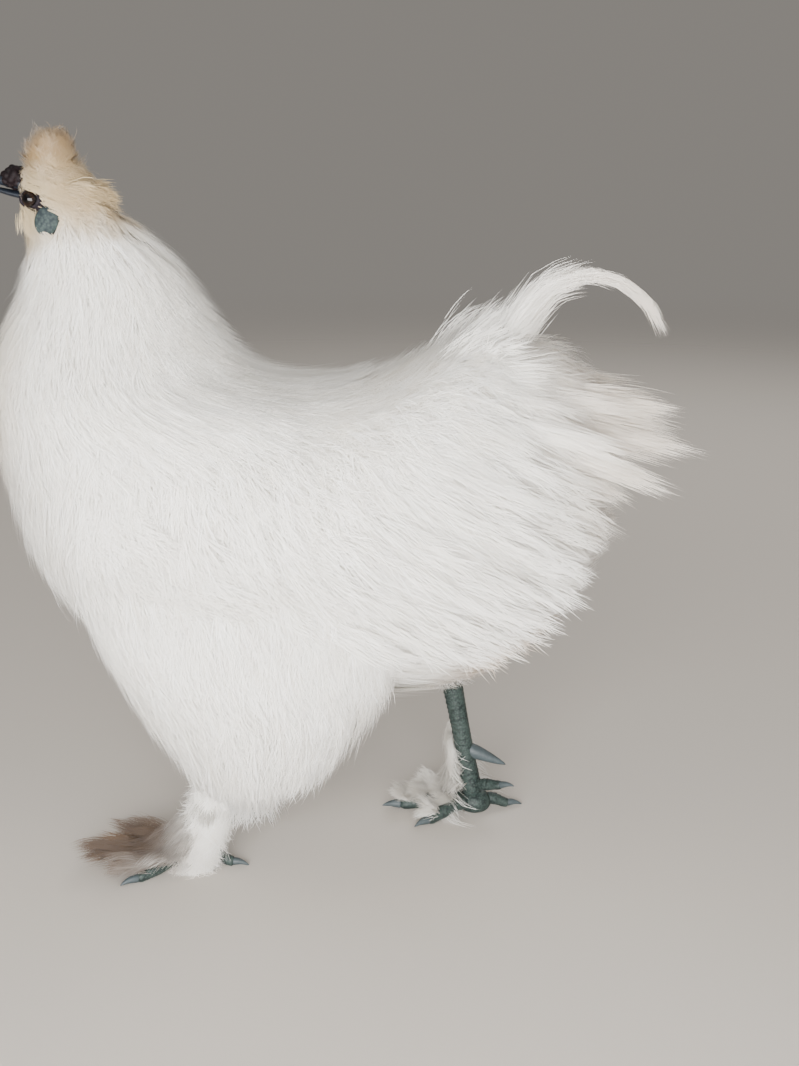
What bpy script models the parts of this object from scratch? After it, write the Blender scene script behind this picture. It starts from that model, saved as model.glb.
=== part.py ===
"""A life-size silkie cock, walking, with crest, hackle, folded wings, a curled tail and feathered feet.

The cock faces -X, its left side is -Y, and it stands on z = 0. Its flesh is lofted through stations, which
are rings with a front or under point, a back or upper point, a middle y and a half width. The stations give
the outer surface of the coat. A core lies half the coat's depth under it, and flat, tapered locks rise from
the core to that surface along the lie of the feathers. The coat of head, neck, body, tail and thighs is
modelled whole and then parted by thin cuts.
"""
import math
import random

import bpy
import bmesh
from mathutils import Matrix, Vector

GAP = 0.0003
SEED = 11
SIDES = {"left": -1, "right": 1}

# Stations of the coat's outer surface: (x, z) before or below, (x, z) behind or above, middle y, half width.
TORSO = [
    ((-0.184, 0.262), (-0.122, 0.268), 0.0, 0.040),
    ((-0.203, 0.236), (-0.092, 0.262), 0.0, 0.068),
    ((-0.197, 0.194), (-0.062, 0.259), 0.0, 0.082),
    ((-0.183, 0.152), (-0.030, 0.257), 0.0, 0.088),
    ((-0.150, 0.118), (0.000, 0.264), 0.0, 0.090),
    ((-0.095, 0.094), (0.022, 0.276), 0.0, 0.088),
    ((-0.030, 0.086), (0.038, 0.284), 0.0, 0.080),
    ((0.030, 0.094), (0.054, 0.284), 0.0, 0.068),
    ((0.070, 0.118), (0.070, 0.266), 0.0, 0.050),
    ((0.092, 0.150), (0.084, 0.238), 0.0, 0.032),
    ((0.100, 0.178), (0.094, 0.210), 0.0, 0.013),
]
NECK = [
    ((-0.181, 0.336), (-0.138, 0.342), 0.0, 0.019),
    ((-0.183, 0.320), (-0.127, 0.330), 0.0, 0.026),
    ((-0.190, 0.298), (-0.108, 0.306), 0.0, 0.037),
    ((-0.201, 0.272), (-0.091, 0.280), 0.0, 0.053),
    ((-0.205, 0.244), (-0.070, 0.261), 0.0, 0.071),
    ((-0.200, 0.214), (-0.026, 0.252), 0.0, 0.080),
]
THIGHS = {
    "left": [
        ((-0.158, 0.150), (0.003, 0.142), -0.046, 0.036),
        ((-0.149, 0.124), (-0.003, 0.118), -0.046, 0.038),
        ((-0.135, 0.098), (-0.010, 0.097), -0.045, 0.036),
        ((-0.119, 0.074), (-0.026, 0.074), -0.042, 0.030),
        ((-0.108, 0.054), (-0.042, 0.055), -0.039, 0.022),
        ((-0.097, 0.042), (-0.062, 0.043), -0.037, 0.011),
    ],
    "right": [
        ((-0.060, 0.140), (0.058, 0.146), 0.038, 0.030),
        ((-0.042, 0.116), (0.056, 0.122), 0.038, 0.029),
        ((-0.016, 0.097), (0.051, 0.102), 0.036, 0.024),
        ((0.008, 0.084), (0.044, 0.088), 0.034, 0.016),
        ((0.018, 0.077), (0.037, 0.079), 0.033, 0.009),
    ],
}
HEAD = [
    ((-0.1815, 0.314), (-0.134, 0.328), 0.0, 0.020),
    ((-0.1825, 0.328), (-0.142, 0.338), 0.0, 0.0175),
    ((-0.1840, 0.338), (-0.147, 0.346), 0.0, 0.0155),
    ((-0.1850, 0.348), (-0.151, 0.353), 0.0, 0.0135),
    ((-0.1815, 0.356), (-0.156, 0.358), 0.0, 0.0100),
    ((-0.174, 0.360), (-0.164, 0.361), 0.0, 0.0045),
]
RUMP = (0.070, 0.0, 0.243)
RUMP_RADII = (0.042, 0.036, 0.036)

# Depth of the coat, and how far a lock's root is sunk in the core.
BODY_COAT = 0.017
NECK_COAT = 0.013
THIGH_COAT = 0.013
SINK = 0.005

# Locks: thickness, width along them as shares, the stations that they start from, width, stations crossed.
LOCK_THICK = 0.0030
LOCK_TAPER = ((0.0, 0.75), (0.40, 1.0), (0.76, 0.70))
LOCK_RISE = 0.62
LOCK_WRAP = 0.55
BODY_ROWS = (0.5, 1.55, 2.6, 3.65, 4.7, 5.75, 6.8, 7.85, 8.7)
BODY_WIDTH = 0.052
BODY_REACH = 1.75
STERN_LIFT = 0.010
HACKLE_ROWS = (0.75, 1.65, 2.6, 3.5)
HACKLE_ROUND = (8, 9, 10, 11)
HACKLE_WIDTH = (0.021, 0.028, 0.035, 0.042)
HACKLE_REACH = 1.5
THIGH_ROWS = (1.3, 2.8)
THIGH_WIDTH = 0.038
THIGH_LOCK_REACH = 1.7

# The crest: stations of the tuft on the crown, bottom to top, and the coat's depth on it.
CREST = [
    ((-0.1800, 0.3490), (-0.1530, 0.3490), 0.0, 0.0125),
    ((-0.1820, 0.3575), (-0.1535, 0.3575), 0.0, 0.0145),
    ((-0.1818, 0.3655), (-0.1545, 0.3655), 0.0, 0.0150),
    ((-0.1790, 0.3715), (-0.1575, 0.3720), 0.0, 0.0125),
    ((-0.1730, 0.3750), (-0.1630, 0.3755), 0.0, 0.0060),
]
CREST_COAT = 0.008
# How many of its stations the core reaches.
CREST_CORE = 3
# Rows of its locks: station, how many, stations crossed.
CREST_ROWS = ((0.2, 6, 1.9), (1.1, 6, 1.8), (1.8, 4, 2.0))
# Rows of locks down the nape: station on the head, stations crossed, how far the tips stand off.
NAPE_ROWS = ((3.6, -1.6, 0.0080), (2.5, -1.5, 0.0070))
NAPE_ANGLES = (-76, -38, 0, 38, 76)
PLUME_WIDTH = 0.0145
PLUME_THICK = 0.0018
PLUME_SINK = 0.0035
PLUME_TAPER = (0.75, 1.0, 0.90)
# Cheek feathers: height and angle of the root on the head, in degrees from the nape, and length.
CHEEK = (
    (1.50, 150, 0.013), (1.05, 122, 0.016), (1.60, 88, 0.016), (2.60, 64, 0.016),
)

# Tail feathers: x and z of the tip, half spread in y, width, and how much they arch.
TAIL_FAN = (
    (0.102, 0.260, 0.010, 0.020, 0.010), (0.126, 0.248, 0.020, 0.020, 0.012),
    (0.148, 0.235, 0.008, 0.019, 0.014), (0.154, 0.218, 0.018, 0.020, 0.016),
    (0.140, 0.204, 0.034, 0.020, 0.016), (0.124, 0.192, 0.014, 0.020, 0.014),
    (0.116, 0.224, 0.046, 0.020, 0.012), (0.113, 0.173, 0.012, 0.020, 0.010),
)
CUSHION = (
    (0.060, 0.311, 0.008, 0.022), (0.058, 0.299, 0.030, 0.022), (0.082, 0.290, 0.026, 0.022),
    (0.080, 0.268, 0.044, 0.022),
)
TAIL_ROOT = (0.060, 0.0, 0.250)
TAIL_ROOT_SPREAD = 0.30
SICKLE = [
    (0.056, 0.276), (0.063, 0.294), (0.077, 0.3060), (0.095, 0.3085), (0.110, 0.3040), (0.121, 0.294),
    (0.127, 0.284), (0.131, 0.273),
]
SICKLE_FACE = Vector((0.2, -1.0, 0.1))
SICKLE_WIDTHS = [0.012, 0.013, 0.013, 0.011, 0.009, 0.007, 0.005]
VANE_THICK = 0.0014
FEATHER_TILT = 0.16
VANE_TAPER = (0.70, 1.0, 0.95, 0.62)

# The folded wing: station and angle in degrees of its shoulder and tip, its spread, and its lifts.
WING_FROM = (1.9, 104)
WING_TO = (6.7, 128)
WING_SPREAD = 48
WING_LONG = 0.19
WING_WIDE = 0.06
WING_GAP = 0.0004
WING_FLOOR = -0.0115
WING_TOP = -0.0050
WING_CLEAR = 0.030
# Tiers of wing feathers: how many, first and last share along the wing, width, and lift of root and tip.
WING_TIERS = (
    (4, 0.34, 0.97, 0.019, -0.0066, -0.0034),
    (3, 0.14, 0.64, 0.024, -0.0060, 0.0004),
    (2, 0.04, 0.36, 0.032, -0.0055, 0.0030),
)

# Cuts that part the coat: a point of the plane and its upward or outward normal.
HEAD_CUT = ((-0.160, 0.0, 0.3250), (-0.27, 0.0, 0.963))
NECK_CUT = ((-0.125, 0.0, 0.2420), (-0.22, 0.0, 0.975))
NECK_BACK = 0.092
TAIL_CUT = ((0.066, 0.0, 0.2500), (0.95, 0.0, 0.31))
THIGH_TOP = {"left": (-0.086, -0.045, 0.108), "right": (0.016, 0.040, 0.108)}
THIGH_REACH = {"left": 0.092, "right": 0.064}
THIGH_TILT = math.radians(29)
THIGH_INNER = 0.004
THIGH_OUTER = 0.130
COAT_BOTTOM = 0.022
COAT_THINNING = 0.68
CUTTER = 0.4

# The head's small pieces.
EYE = (-0.1765, 0.0100, 0.3425)
EYE_RADIUS = 0.0046
LID_RADIUS = 0.0049
LID_THICK = 0.0011
BILL_ROOT = (-0.1800, 0.0, 0.3468)
BILL_LENGTH = 0.025
BILL_TILT = math.radians(12)
NOSTRIL = (0.40, 0.0030, 0.0036)
NOSTRIL_RADII = (0.0016, 0.0009, 0.0006)
LOBE = (-0.1685, 0.0160, 0.3325)
LOBE_RADII = (0.0058, 0.0022, 0.0072)
WATTLE = (-0.1790, 0.0060, 0.3325)
WATTLE_RADII = (0.0028, 0.0024, 0.0042)
COMB = (-0.1868, 0.0, 0.3524)
COMB_RADII = (0.0062, 0.0064, 0.0054)
COMB_BULBS = 4.4
COMB_CREASE = 0.13
COMB_TURN = math.radians(-25)

# Legs and feet.
HOCK = {"left": (-0.084, -0.036, 0.080), "right": (0.027, 0.033, 0.090)}
FOOT = {"left": (-0.107, -0.031, 0.0), "right": (0.043, 0.032, 0.0)}
SHANK_RADIUS = 0.0056
PAD_RADII = (0.0095, 0.0085, 0.0080)
PAD_HEIGHT = 0.0050
# Toes: degrees from straight ahead towards the outer side, climb in degrees, length, root radius, claw.
TOES = {
    "1": (172, 0, 0.020, 0.0036, 0.0080),
    "2": (-36, 0, 0.034, 0.0040, 0.0090),
    "3": (0, 0, 0.043, 0.0044, 0.0100),
    "4": (36, 0, 0.036, 0.0040, 0.0090),
    "5": (-138, 16, 0.022, 0.0034, 0.0090),
}
FIFTH_TOE_SHARE = 0.88
TOE_ARCH = 0.0022
TOE_TAPER = 0.70
CLAW_ARCH = 0.0010
CLAW_CLEAR = 0.0008
SPUR_HEIGHT = 0.038
SPUR_LENGTH = 0.020
SPUR_RADIUS = 0.0040
# Foot feathers: share down the shank, or the toe and the share along it, heading, length.
SHANK_FEATHERS = ((0.52, 76, 0.024), (0.64, 34, 0.026), (0.80, 60, 0.029))
TOE_FEATHERS = (
    ("3", 0.30, 21, 0.031), ("4", 0.15, 70, 0.027), ("4", 0.42, 50, 0.035), ("4", 0.72, 34, 0.029),
)
FOOT_FEATHER_WIDTH = 0.014
FLOOR_CLEAR = 0.0006
FOOT_THINNING = 0.85

WHITE = (0.86, 0.85, 0.82)
CREAM = (0.78, 0.72, 0.62)
SLATE = (0.055, 0.075, 0.080)
MULBERRY = (0.030, 0.010, 0.016)
TURQUOISE = (0.13, 0.30, 0.32)
HORN = (0.09, 0.10, 0.11)
BLACK = (0.008, 0.006, 0.008)


def clear_scene():
    """Empties the scene."""
    for old in list(bpy.data.objects):
        bpy.data.objects.remove(old)


def collection(name, hidden=False):
    """A new collection of the scene."""
    made = bpy.data.collections.new(name)
    made.hide_render = hidden
    bpy.context.scene.collection.children.link(made)
    return made


def material(name, colour, roughness):
    """A plain shader with the part's colour."""
    made = bpy.data.materials.new(name)
    made.use_nodes = True
    shader = made.node_tree.nodes["Principled BSDF"]
    shader.inputs["Base Color"].default_value = (*colour, 1.0)
    shader.inputs["Roughness"].default_value = roughness
    return made


def blend(a, b, share):
    """The value between a and b at that share."""
    return a + (b - a) * share


class Form:
    """A smooth lofted surface through stations, read at a place u along it and an angle theta round it."""

    def __init__(self, stations, grow=0.0, coat=0.0, thick=LOCK_THICK, sink=SINK):
        self.coat, self.thick, self.sink = coat, thick, sink
        self.rings = []
        for (ax, az), (bx, bz), y, half_width in stations:
            under, upper = Vector((ax, y, az)), Vector((bx, y, bz))
            half = (upper - under) / 2
            half = half.normalized() * max(half.length + grow, 0.002)
            self.rings.append(((under + upper) / 2, half, Vector((0.0, max(half_width + grow, 0.002), 0.0))))
        self.last = len(self.rings) - 1

    def ring(self, u):
        """Centre, upward half axis and sideways half axis at u, by a Catmull-Rom spline."""
        i = min(max(int(math.floor(u)), 0), self.last - 1)
        t = u - i
        before = self.rings[max(i - 1, 0)]
        start, end = self.rings[i], self.rings[i + 1]
        after = self.rings[min(i + 2, self.last)]
        if t < 0 or t > 1:
            return tuple(blend(s, e, t) if k == 0 else (s if t < 0 else e)
                         for k, (s, e) in enumerate(zip(start, end)))
        found = []
        for a, b, c, d in zip(before, start, end, after):
            square, cube = 2 * a - 5 * b + 4 * c - d, 3 * b - a - 3 * c + d
            found.append(0.5 * (2 * b + (c - a) * t + square * t * t + cube * t ** 3))
        return tuple(found)

    def on(self, u, theta):
        """The point at u and theta. Theta 0 is the back or top, and positive theta turns to +Y."""
        centre, up, side = self.ring(u)
        return centre + up * math.cos(theta) + side * math.sin(theta)

    def normal(self, u, theta):
        """The outward normal."""
        step = 0.02
        along = self.on(u + step, theta) - self.on(u - step, theta)
        around = self.on(u, theta + step) - self.on(u, theta - step)
        found = around.cross(along)
        outward = self.on(u, theta) - self.ring(u)[0]
        found = found if found.dot(outward) > 0 else -found
        return found.normalized()

    def at(self, u, theta, lift):
        """The point that stands lift above the surface."""
        return self.on(u, theta) + self.normal(u, theta) * lift

    def girth(self, u):
        """The length of the ring at u."""
        _, up, side = self.ring(u)
        a, b = up.length, side.length
        return math.pi * (3 * (a + b) - math.sqrt((3 * a + b) * (a + 3 * b)))


def mesh_object(name, bm, into):
    """An object from a bmesh, with its faces made to point outwards."""
    bmesh.ops.recalc_face_normals(bm, faces=bm.faces)
    mesh = bpy.data.meshes.new(name)
    bm.to_mesh(mesh)
    bm.free()
    made = bpy.data.objects.new(name, mesh)
    into.objects.link(made)
    return made


def loft(name, rings, into, tip=None):
    """A closed solid through rings of points, with a fan over each end, or a tip past the last ring."""
    bm = bmesh.new()
    rows = [[bm.verts.new(p) for p in ring] for ring in rings]
    count = len(rows[0])
    for near, far in zip(rows, rows[1:]):
        for i in range(count):
            j = (i + 1) % count
            bm.faces.new((near[i], near[j], far[j]))
            bm.faces.new((near[i], far[j], far[i]))
    ends = [(rows[0], sum(map(Vector, rings[0]), Vector()) / count)]
    ends.append((rows[-1], Vector(tip) if tip is not None else sum(map(Vector, rings[-1]), Vector()) / count))
    for row, middle in ends:
        centre = bm.verts.new(middle)
        for i in range(count):
            bm.faces.new((row[i], row[(i + 1) % count], centre))
    return mesh_object(name, bm, into)


def form_solid(name, form, into, rows, sides):
    """A form's closed surface."""
    rings = []
    for r in range(rows + 1):
        u = form.last * r / rows
        rings.append([form.on(u, 2 * math.pi * k / sides) for k in range(sides)])
    return loft(name, rings, into)


def ellipsoid(name, centre, radii, into, turn=0.0, segments=10, rings=7):
    """A UV sphere stretched to the radii and turned about Y."""
    bm = bmesh.new()
    bmesh.ops.create_uvsphere(bm, u_segments=segments, v_segments=rings, radius=1.0)
    shape = Matrix.Translation(centre) @ Matrix.Rotation(turn, 4, "Y") @ Matrix.Diagonal((*radii, 1.0))
    bmesh.ops.transform(bm, matrix=shape, verts=bm.verts)
    bmesh.ops.triangulate(bm, faces=bm.faces)
    return mesh_object(name, bm, into)


def tube(name, path, radii, into, tip=None, sides=8, floor=None, root=None):
    """A closed tube through a path. No point lies below the floor. Root is the way its first end faces."""
    rings = []
    for i, (centre, radius) in enumerate(zip(path, radii)):
        ahead = (path[min(i + 1, len(path) - 1)] - path[max(i - 1, 0)]).normalized()
        if root is not None and i == 0:
            ahead = root
        side = ahead.cross(Vector((0, 0, 1)))
        side = side.normalized() if side.length > 0.2 else Vector((0, 1, 0))
        up = side.cross(ahead).normalized()
        ring = []
        for k in range(sides):
            angle = 2 * math.pi * (k + 0.5) / sides
            point = centre + side * radius * math.cos(angle) + up * radius * math.sin(angle)
            if floor is not None:
                point.z = max(point.z, floor)
            ring.append(point)
        rings.append(ring)
    return loft(name, rings, into, tip)


def strip(name, rows, tip, into):
    """A closed, tapered strip through rows of corners, which ends in a tip. Odd corners are its ridges.

    Diagonals run from side edges to ridges, and across a flat underside where they lie far from the ridge.
    """
    bm = bmesh.new()
    rows = [[bm.verts.new(corner) for corner in row] for row in rows]
    count = len(rows[0])
    for near, far in zip(rows, rows[1:]):
        for i in range(count):
            j = (i + 1) % count
            edge, ridge = (i, j) if i % 2 == 0 else (j, i)
            if edge % 2 == ridge % 2:
                middle = (near[1].co + far[1].co) / 2
                one, other = (near[edge].co + far[ridge].co) / 2, (near[ridge].co + far[edge].co) / 2
                if (other - middle).length > (one - middle).length:
                    edge, ridge = ridge, edge
            bm.faces.new((near[edge], near[ridge], far[ridge]))
            bm.faces.new((near[edge], far[ridge], far[edge]))
    point = bm.verts.new(tip)
    for i in range(count):
        bm.faces.new((rows[-1][i], rows[-1][(i + 1) % count], point))
    for i in range(1, count - 1):
        bm.faces.new((rows[0][0], rows[0][i], rows[0][i + 1]))
    return mesh_object(name, bm, into)


def vane(name, path, normals, widths, thicks, into, flat=False):
    """A tapered feather along a path that ends in a point. Its section is a lens or a flat-bottomed ridge."""
    rows = []
    for i, (centre, normal, width, thick) in enumerate(zip(path, normals, widths, thicks)):
        ahead = (path[i + 1] - path[max(i - 1, 0)]).normalized()
        side = ahead.cross(normal).normalized() * width / 2
        up = side.cross(ahead).normalized() * thick / 2
        corners = (side - up, up, -side - up) if flat else (side, up, -side, -up)
        rows.append([centre + corner for corner in corners])
    return strip(name, rows, path[-1], into)


def coat_lock(form, u, theta, reach, drift, width, tip_lift, into):
    """A lock curved round the form, whose root sits in the core and whose tip is at the coat's surface."""
    root_lift = -form.coat / 2 - form.sink
    rows = []
    for share, taper in LOCK_TAPER:
        at_u = u + reach * share
        at_theta = theta + drift * share
        lift = blend(root_lift, tip_lift, share ** LOCK_RISE)
        around = (form.on(at_u, at_theta + 0.01) - form.on(at_u, at_theta - 0.01)).length / 0.02
        half = width * taper / 2 / max(around, 0.004)
        half = min(half, LOCK_WRAP)
        low, high = lift - form.thick / 2, lift + form.thick / 2
        rows.append([form.at(at_u, at_theta - half, low), form.at(at_u, at_theta, high),
                     form.at(at_u, at_theta + half, low)])
    tip = form.at(u + reach, theta + drift, tip_lift)
    strip("lock", rows, tip, into)


def plume_path(root, start, end, length, steps=5):
    """Points of a feather that leaves its root along start and has bent to end at its tip."""
    points = []
    for k in range(steps + 1):
        share = k / steps
        points.append(root + start * length * share + (end - start) * length * share * share / 2)
    return points


def plume(root, start, end, length, width, thick, broad, into):
    """A small feather on a bent path. Broad is the way its width lies."""
    start, end, broad = Vector(start).normalized(), Vector(end).normalized(), Vector(broad)
    steps = len(PLUME_TAPER)
    path = plume_path(Vector(root), start, end, length, steps)
    normals = [broad.cross(path[k + 1] - path[max(k - 1, 0)]).normalized() for k in range(steps)]
    vane("plume", path, normals, [width * s for s in PLUME_TAPER], [thick] * steps, into, flat=True)


def boolean(target, operation, other, solver="EXACT"):
    """Applies a Boolean with an object or a collection, and removes what it used.

    The exact solver is slow on the coat's many crossing locks and leaves open edges in the head's sockets, so
    these take the manifold one.
    """
    tool = target.modifiers.new("boolean", "BOOLEAN")
    tool.operation = operation
    tool.solver = solver
    if isinstance(other, bpy.types.Collection):
        tool.operand_type = "COLLECTION"
        tool.collection = other
    else:
        tool.object = other
    bpy.context.view_layer.update()
    graph = bpy.context.evaluated_depsgraph_get()
    mesh = bpy.data.meshes.new_from_object(target.evaluated_get(graph))
    target.modifiers.clear()
    target.data = mesh
    used = list(other.objects) if isinstance(other, bpy.types.Collection) else [other]
    for piece in used:
        bpy.data.objects.remove(piece)


def thin_out(obj, share):
    """Collapses the slivers that a union leaves, down to that share of the faces."""
    tool = obj.modifiers.new("thin out", "DECIMATE")
    tool.ratio = share
    bpy.context.view_layer.update()
    mesh = bpy.data.meshes.new_from_object(obj.evaluated_get(bpy.context.evaluated_depsgraph_get()))
    obj.modifiers.clear()
    obj.data = mesh


def keep_largest(obj):
    """Keeps only the closed surface with the most volume."""
    bm = bmesh.new()
    bm.from_mesh(obj.data)
    bmesh.ops.triangulate(bm, faces=bm.faces)
    unseen, islands = set(bm.verts), []
    while unseen:
        stack = [unseen.pop()]
        island = set(stack)
        while stack:
            for edge in stack.pop().link_edges:
                for vertex in edge.verts:
                    if vertex in unseen:
                        unseen.discard(vertex)
                        island.add(vertex)
                        stack.append(vertex)
        islands.append(island)

    def volume(island):
        faces = {face for vertex in island for face in vertex.link_faces}
        return sum(f.verts[0].co.dot(f.verts[1].co.cross(f.verts[2].co)) for f in faces)

    best = max(islands, key=volume)
    bmesh.ops.delete(bm, geom=[v for v in bm.verts if v not in best], context="VERTS")
    bm.to_mesh(obj.data)
    bm.free()


def half_space(name, point, normal, into):
    """A large cube whose near face is the plane, and which lies on the normal's side of it."""
    bm = bmesh.new()
    bmesh.ops.create_cube(bm, size=CUTTER)
    normal = Vector(normal).normalized()
    turn = normal.to_track_quat("Z", "Y").to_matrix().to_4x4()
    place = Matrix.Translation(Vector(point) + normal * CUTTER / 2)
    bmesh.ops.transform(bm, matrix=place @ turn, verts=bm.verts)
    return mesh_object(name, bm, into)


def copy_of(obj, name, into):
    """A copy with its own mesh."""
    made = bpy.data.objects.new(name, obj.data.copy())
    into.objects.link(made)
    return made


def wing_patch(form, side, row, column, lift):
    """A point of the folded wing. Row 0 is its upper edge, 1 its lower, column 0 its shoulder, 1 its tip."""
    u = blend(WING_FROM[0], WING_TO[0], column)
    theta = blend(WING_FROM[1], WING_TO[1], column) + WING_SPREAD * (row - 0.5) * (1 - 0.45 * column)
    return form.at(u, side * math.radians(theta), lift)


def wing_row(share, column):
    """The row at a share across the wing's oval outline."""
    return 0.5 + (share - 0.5) * math.sqrt(max(1 - (2 * column - 1) ** 2, 0.09))


def wing_block(name, form, side, inner, outer, into, grow=0.0, rows=4, columns=9):
    """The closed block between two lifts over the wing's outline. Grow widens the outline."""
    bm = bmesh.new()
    layers = []
    for lift in (inner, outer):
        layer = []
        for c in range(columns + 1):
            column = 0.5 + (c / columns - 0.5) * (1 + 5 * grow / WING_LONG)
            line = []
            for r in range(rows + 1):
                share = 0.5 + (r / rows - 0.5) * (1 + 5 * grow / WING_WIDE)
                line.append(bm.verts.new(wing_patch(form, side, wing_row(share, c / columns), column, lift)))
            layer.append(line)
        layers.append(layer)
    low, high = layers
    for c in range(columns):
        for r in range(rows):
            for layer in layers:
                bm.faces.new((layer[c][r], layer[c + 1][r], layer[c + 1][r + 1]))
                bm.faces.new((layer[c][r], layer[c + 1][r + 1], layer[c][r + 1]))
    rim = [(c, 0) for c in range(columns)] + [(columns, r) for r in range(rows)]
    rim += [(c, rows) for c in range(columns, 0, -1)] + [(0, r) for r in range(rows, 0, -1)]
    for (c, r), (d, s) in zip(rim, rim[1:] + rim[:1]):
        bm.faces.new((low[c][r], low[d][s], high[d][s]))
        bm.faces.new((low[c][r], high[d][s], high[c][r]))
    return mesh_object(name, bm, into)


def thigh_block(name, side_name, grow, into):
    """The region of a thigh: upright sides, and a top face that climbs outwards."""
    x, y, z = THIGH_TOP[side_name]
    outward = -1 if side_name == "left" else 1
    reach = THIGH_REACH[side_name] + grow
    bm = bmesh.new()
    bmesh.ops.create_cube(bm, size=2.0)
    for v in bm.verts:
        inner = v.co.y * outward < 0
        v.co.x = x + v.co.x * reach
        v.co.y = outward * (THIGH_INNER - grow) if inner else outward * THIGH_OUTER
        top = z + (abs(v.co.y) - abs(y)) * math.tan(THIGH_TILT) + grow
        v.co.z = top if v.co.z > 0 else COAT_BOTTOM
    return mesh_object(name, bm, into)


def neck_block(name, grow, into):
    """The region of the neck: over its cut and before the back."""
    point, normal = Vector(NECK_CUT[0]), Vector(NECK_CUT[1]).normalized()
    along = Vector((normal.z, 0.0, -normal.x))
    bm = bmesh.new()
    bmesh.ops.create_cube(bm, size=2.0)
    for v in bm.verts:
        ahead = NECK_BACK + grow if v.co.x > 0 else -CUTTER
        height = -grow if v.co.z < 0 else CUTTER
        sideways = v.co.y * CUTTER
        v.co = point + along * ahead + normal * height
        v.co.y = sideways
    return mesh_object(name, bm, into)


def organ_makers():
    """The makers of the head's small pieces. Each takes a name, a growth and a collection."""
    makers = {"comb": comb, "beak_upper": beak_upper, "beak_lower": beak_lower}
    for side_name, side in SIDES.items():
        makers["eye_" + side_name] = lambda n, g, c, s=side: eye(n, s, g, c)
        makers["earlobe_" + side_name] = lambda n, g, c, s=side: earlobe(n, s, g, c)
        makers["wattle_" + side_name] = lambda n, g, c, s=side: wattle(n, s, g, c)
    return makers


def eye(name, side, grow, into):
    """An eyeball, sunk in the head to past its middle."""
    x, y, z = EYE
    return ellipsoid(name, (x, side * y, z), (EYE_RADIUS + grow,) * 3, into, segments=12, rings=7)


def earlobe(name, side, grow, into):
    """A flat, hanging oval behind and under the eye."""
    x, y, z = LOBE
    return ellipsoid(name, (x, side * y, z), [r + grow for r in LOBE_RADII], into, math.radians(20), 8, 6)


def wattle(name, side, grow, into):
    """A small lobe under the bill's root."""
    x, y, z = WATTLE
    return ellipsoid(name, (x, side * y, z), [r + grow for r in WATTLE_RADII], into, math.radians(-15), 8, 6)


def comb(name, grow, into):
    """The walnut comb: a low cushion on the forehead, creased into round bulbs."""
    made = ellipsoid(name, (0, 0, 0), [r + grow for r in COMB_RADII], into, segments=16, rings=9)
    turn = Matrix.Rotation(COMB_TURN, 3, "Y")
    for v in made.data.vertices:
        along, across = v.co.x / COMB_RADII[0], v.co.y / COMB_RADII[1]
        crease = math.cos(COMB_BULBS * along + 0.6) * math.cos(COMB_BULBS * across)
        v.co = Vector(COMB) + turn @ (v.co * (1 + COMB_CREASE * crease))
    return made


def bill(name, root_height, rings, grow, into):
    """A half of the bill: rings of (share of the length, droop, half height, half width) along its line."""
    ahead = Vector((-math.cos(BILL_TILT), 0.0, math.sin(BILL_TILT)))
    up = Vector((math.sin(BILL_TILT), 0.0, math.cos(BILL_TILT)))
    root = Vector(BILL_ROOT) + up * root_height
    rows = []
    for share, droop, high, wide in rings:
        centre = root + ahead * BILL_LENGTH * share + up * droop
        rows.append([
            centre + up * (high + grow) * math.sin(2 * math.pi * (k + 0.5) / 10)
            + Vector((0.0, (wide + grow) * math.cos(2 * math.pi * (k + 0.5) / 10), 0.0))
            for k in range(10)
        ])
    return loft(name, rows, into)


def nostril(side, into):
    """The slit of a nostril, as a cutter."""
    share, out, up = NOSTRIL
    ahead = Vector((-math.cos(BILL_TILT), 0.0, math.sin(BILL_TILT)))
    centre = Vector(BILL_ROOT) + ahead * BILL_LENGTH * share + Vector((0.0, side * out, up))
    return ellipsoid("off", centre, NOSTRIL_RADII, into, turn=math.radians(15), segments=6, rings=4)


def beak_upper(name, grow, into):
    """The upper half of the bill, which arches and hooks a little over the lower."""
    rings = [
        (0.0, 0.0, 0.0034, 0.0050), (0.3, 0.0, 0.0030, 0.0043), (0.6, -0.0005, 0.0022, 0.0032),
        (0.85, -0.0014, 0.0015, 0.0020), (1.0, -0.0027, 0.0007, 0.0009),
    ]
    return bill(name, 0.0019, rings, grow, into)


def beak_lower(name, grow, into):
    """The lower half of the bill, shorter and flatter."""
    rings = [
        (0.0, 0.0, 0.0017, 0.0045), (0.3, 0.0, 0.0015, 0.0037), (0.6, 0.0003, 0.0011, 0.0027),
        (0.84, 0.0006, 0.0007, 0.0012),
    ]
    return bill(name, -0.0036, rings, grow, into)


def shank_path(side_name):
    """The scaly leg's line, from inside the thigh to the foot's pad."""
    hock, foot = Vector(HOCK[side_name]), Vector(FOOT[side_name])
    return hock, foot + Vector((0.0, 0.0, PAD_HEIGHT))


def toe_path(side_name, toe):
    """Points along a toe, arched over its joints, from the foot's pad to its claw's root."""
    heading, climb, length, radius, _ = TOES[toe]
    outward = -1 if side_name == "left" else 1
    turn = math.radians(heading)
    ahead = Vector((-math.cos(turn), outward * math.sin(turn), 0.0))
    hock, foot = shank_path(side_name)
    start = Vector(foot)
    if climb:
        start = blend(hock, foot, FIFTH_TOE_SHARE)
    points = []
    for k in range(5):
        share = k / 4
        arch = math.sin(math.pi * min(share * 1.15, 1.0)) * TOE_ARCH
        rise = length * share * math.tan(math.radians(climb)) if climb else 0.0
        low = start.z if climb else blend(PAD_HEIGHT, radius * TOE_TAPER * 0.86, share)
        point = start + ahead * length * share
        point.z = low + rise + (0.0 if climb else arch)
        points.append(point)
    return points, radius


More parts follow.
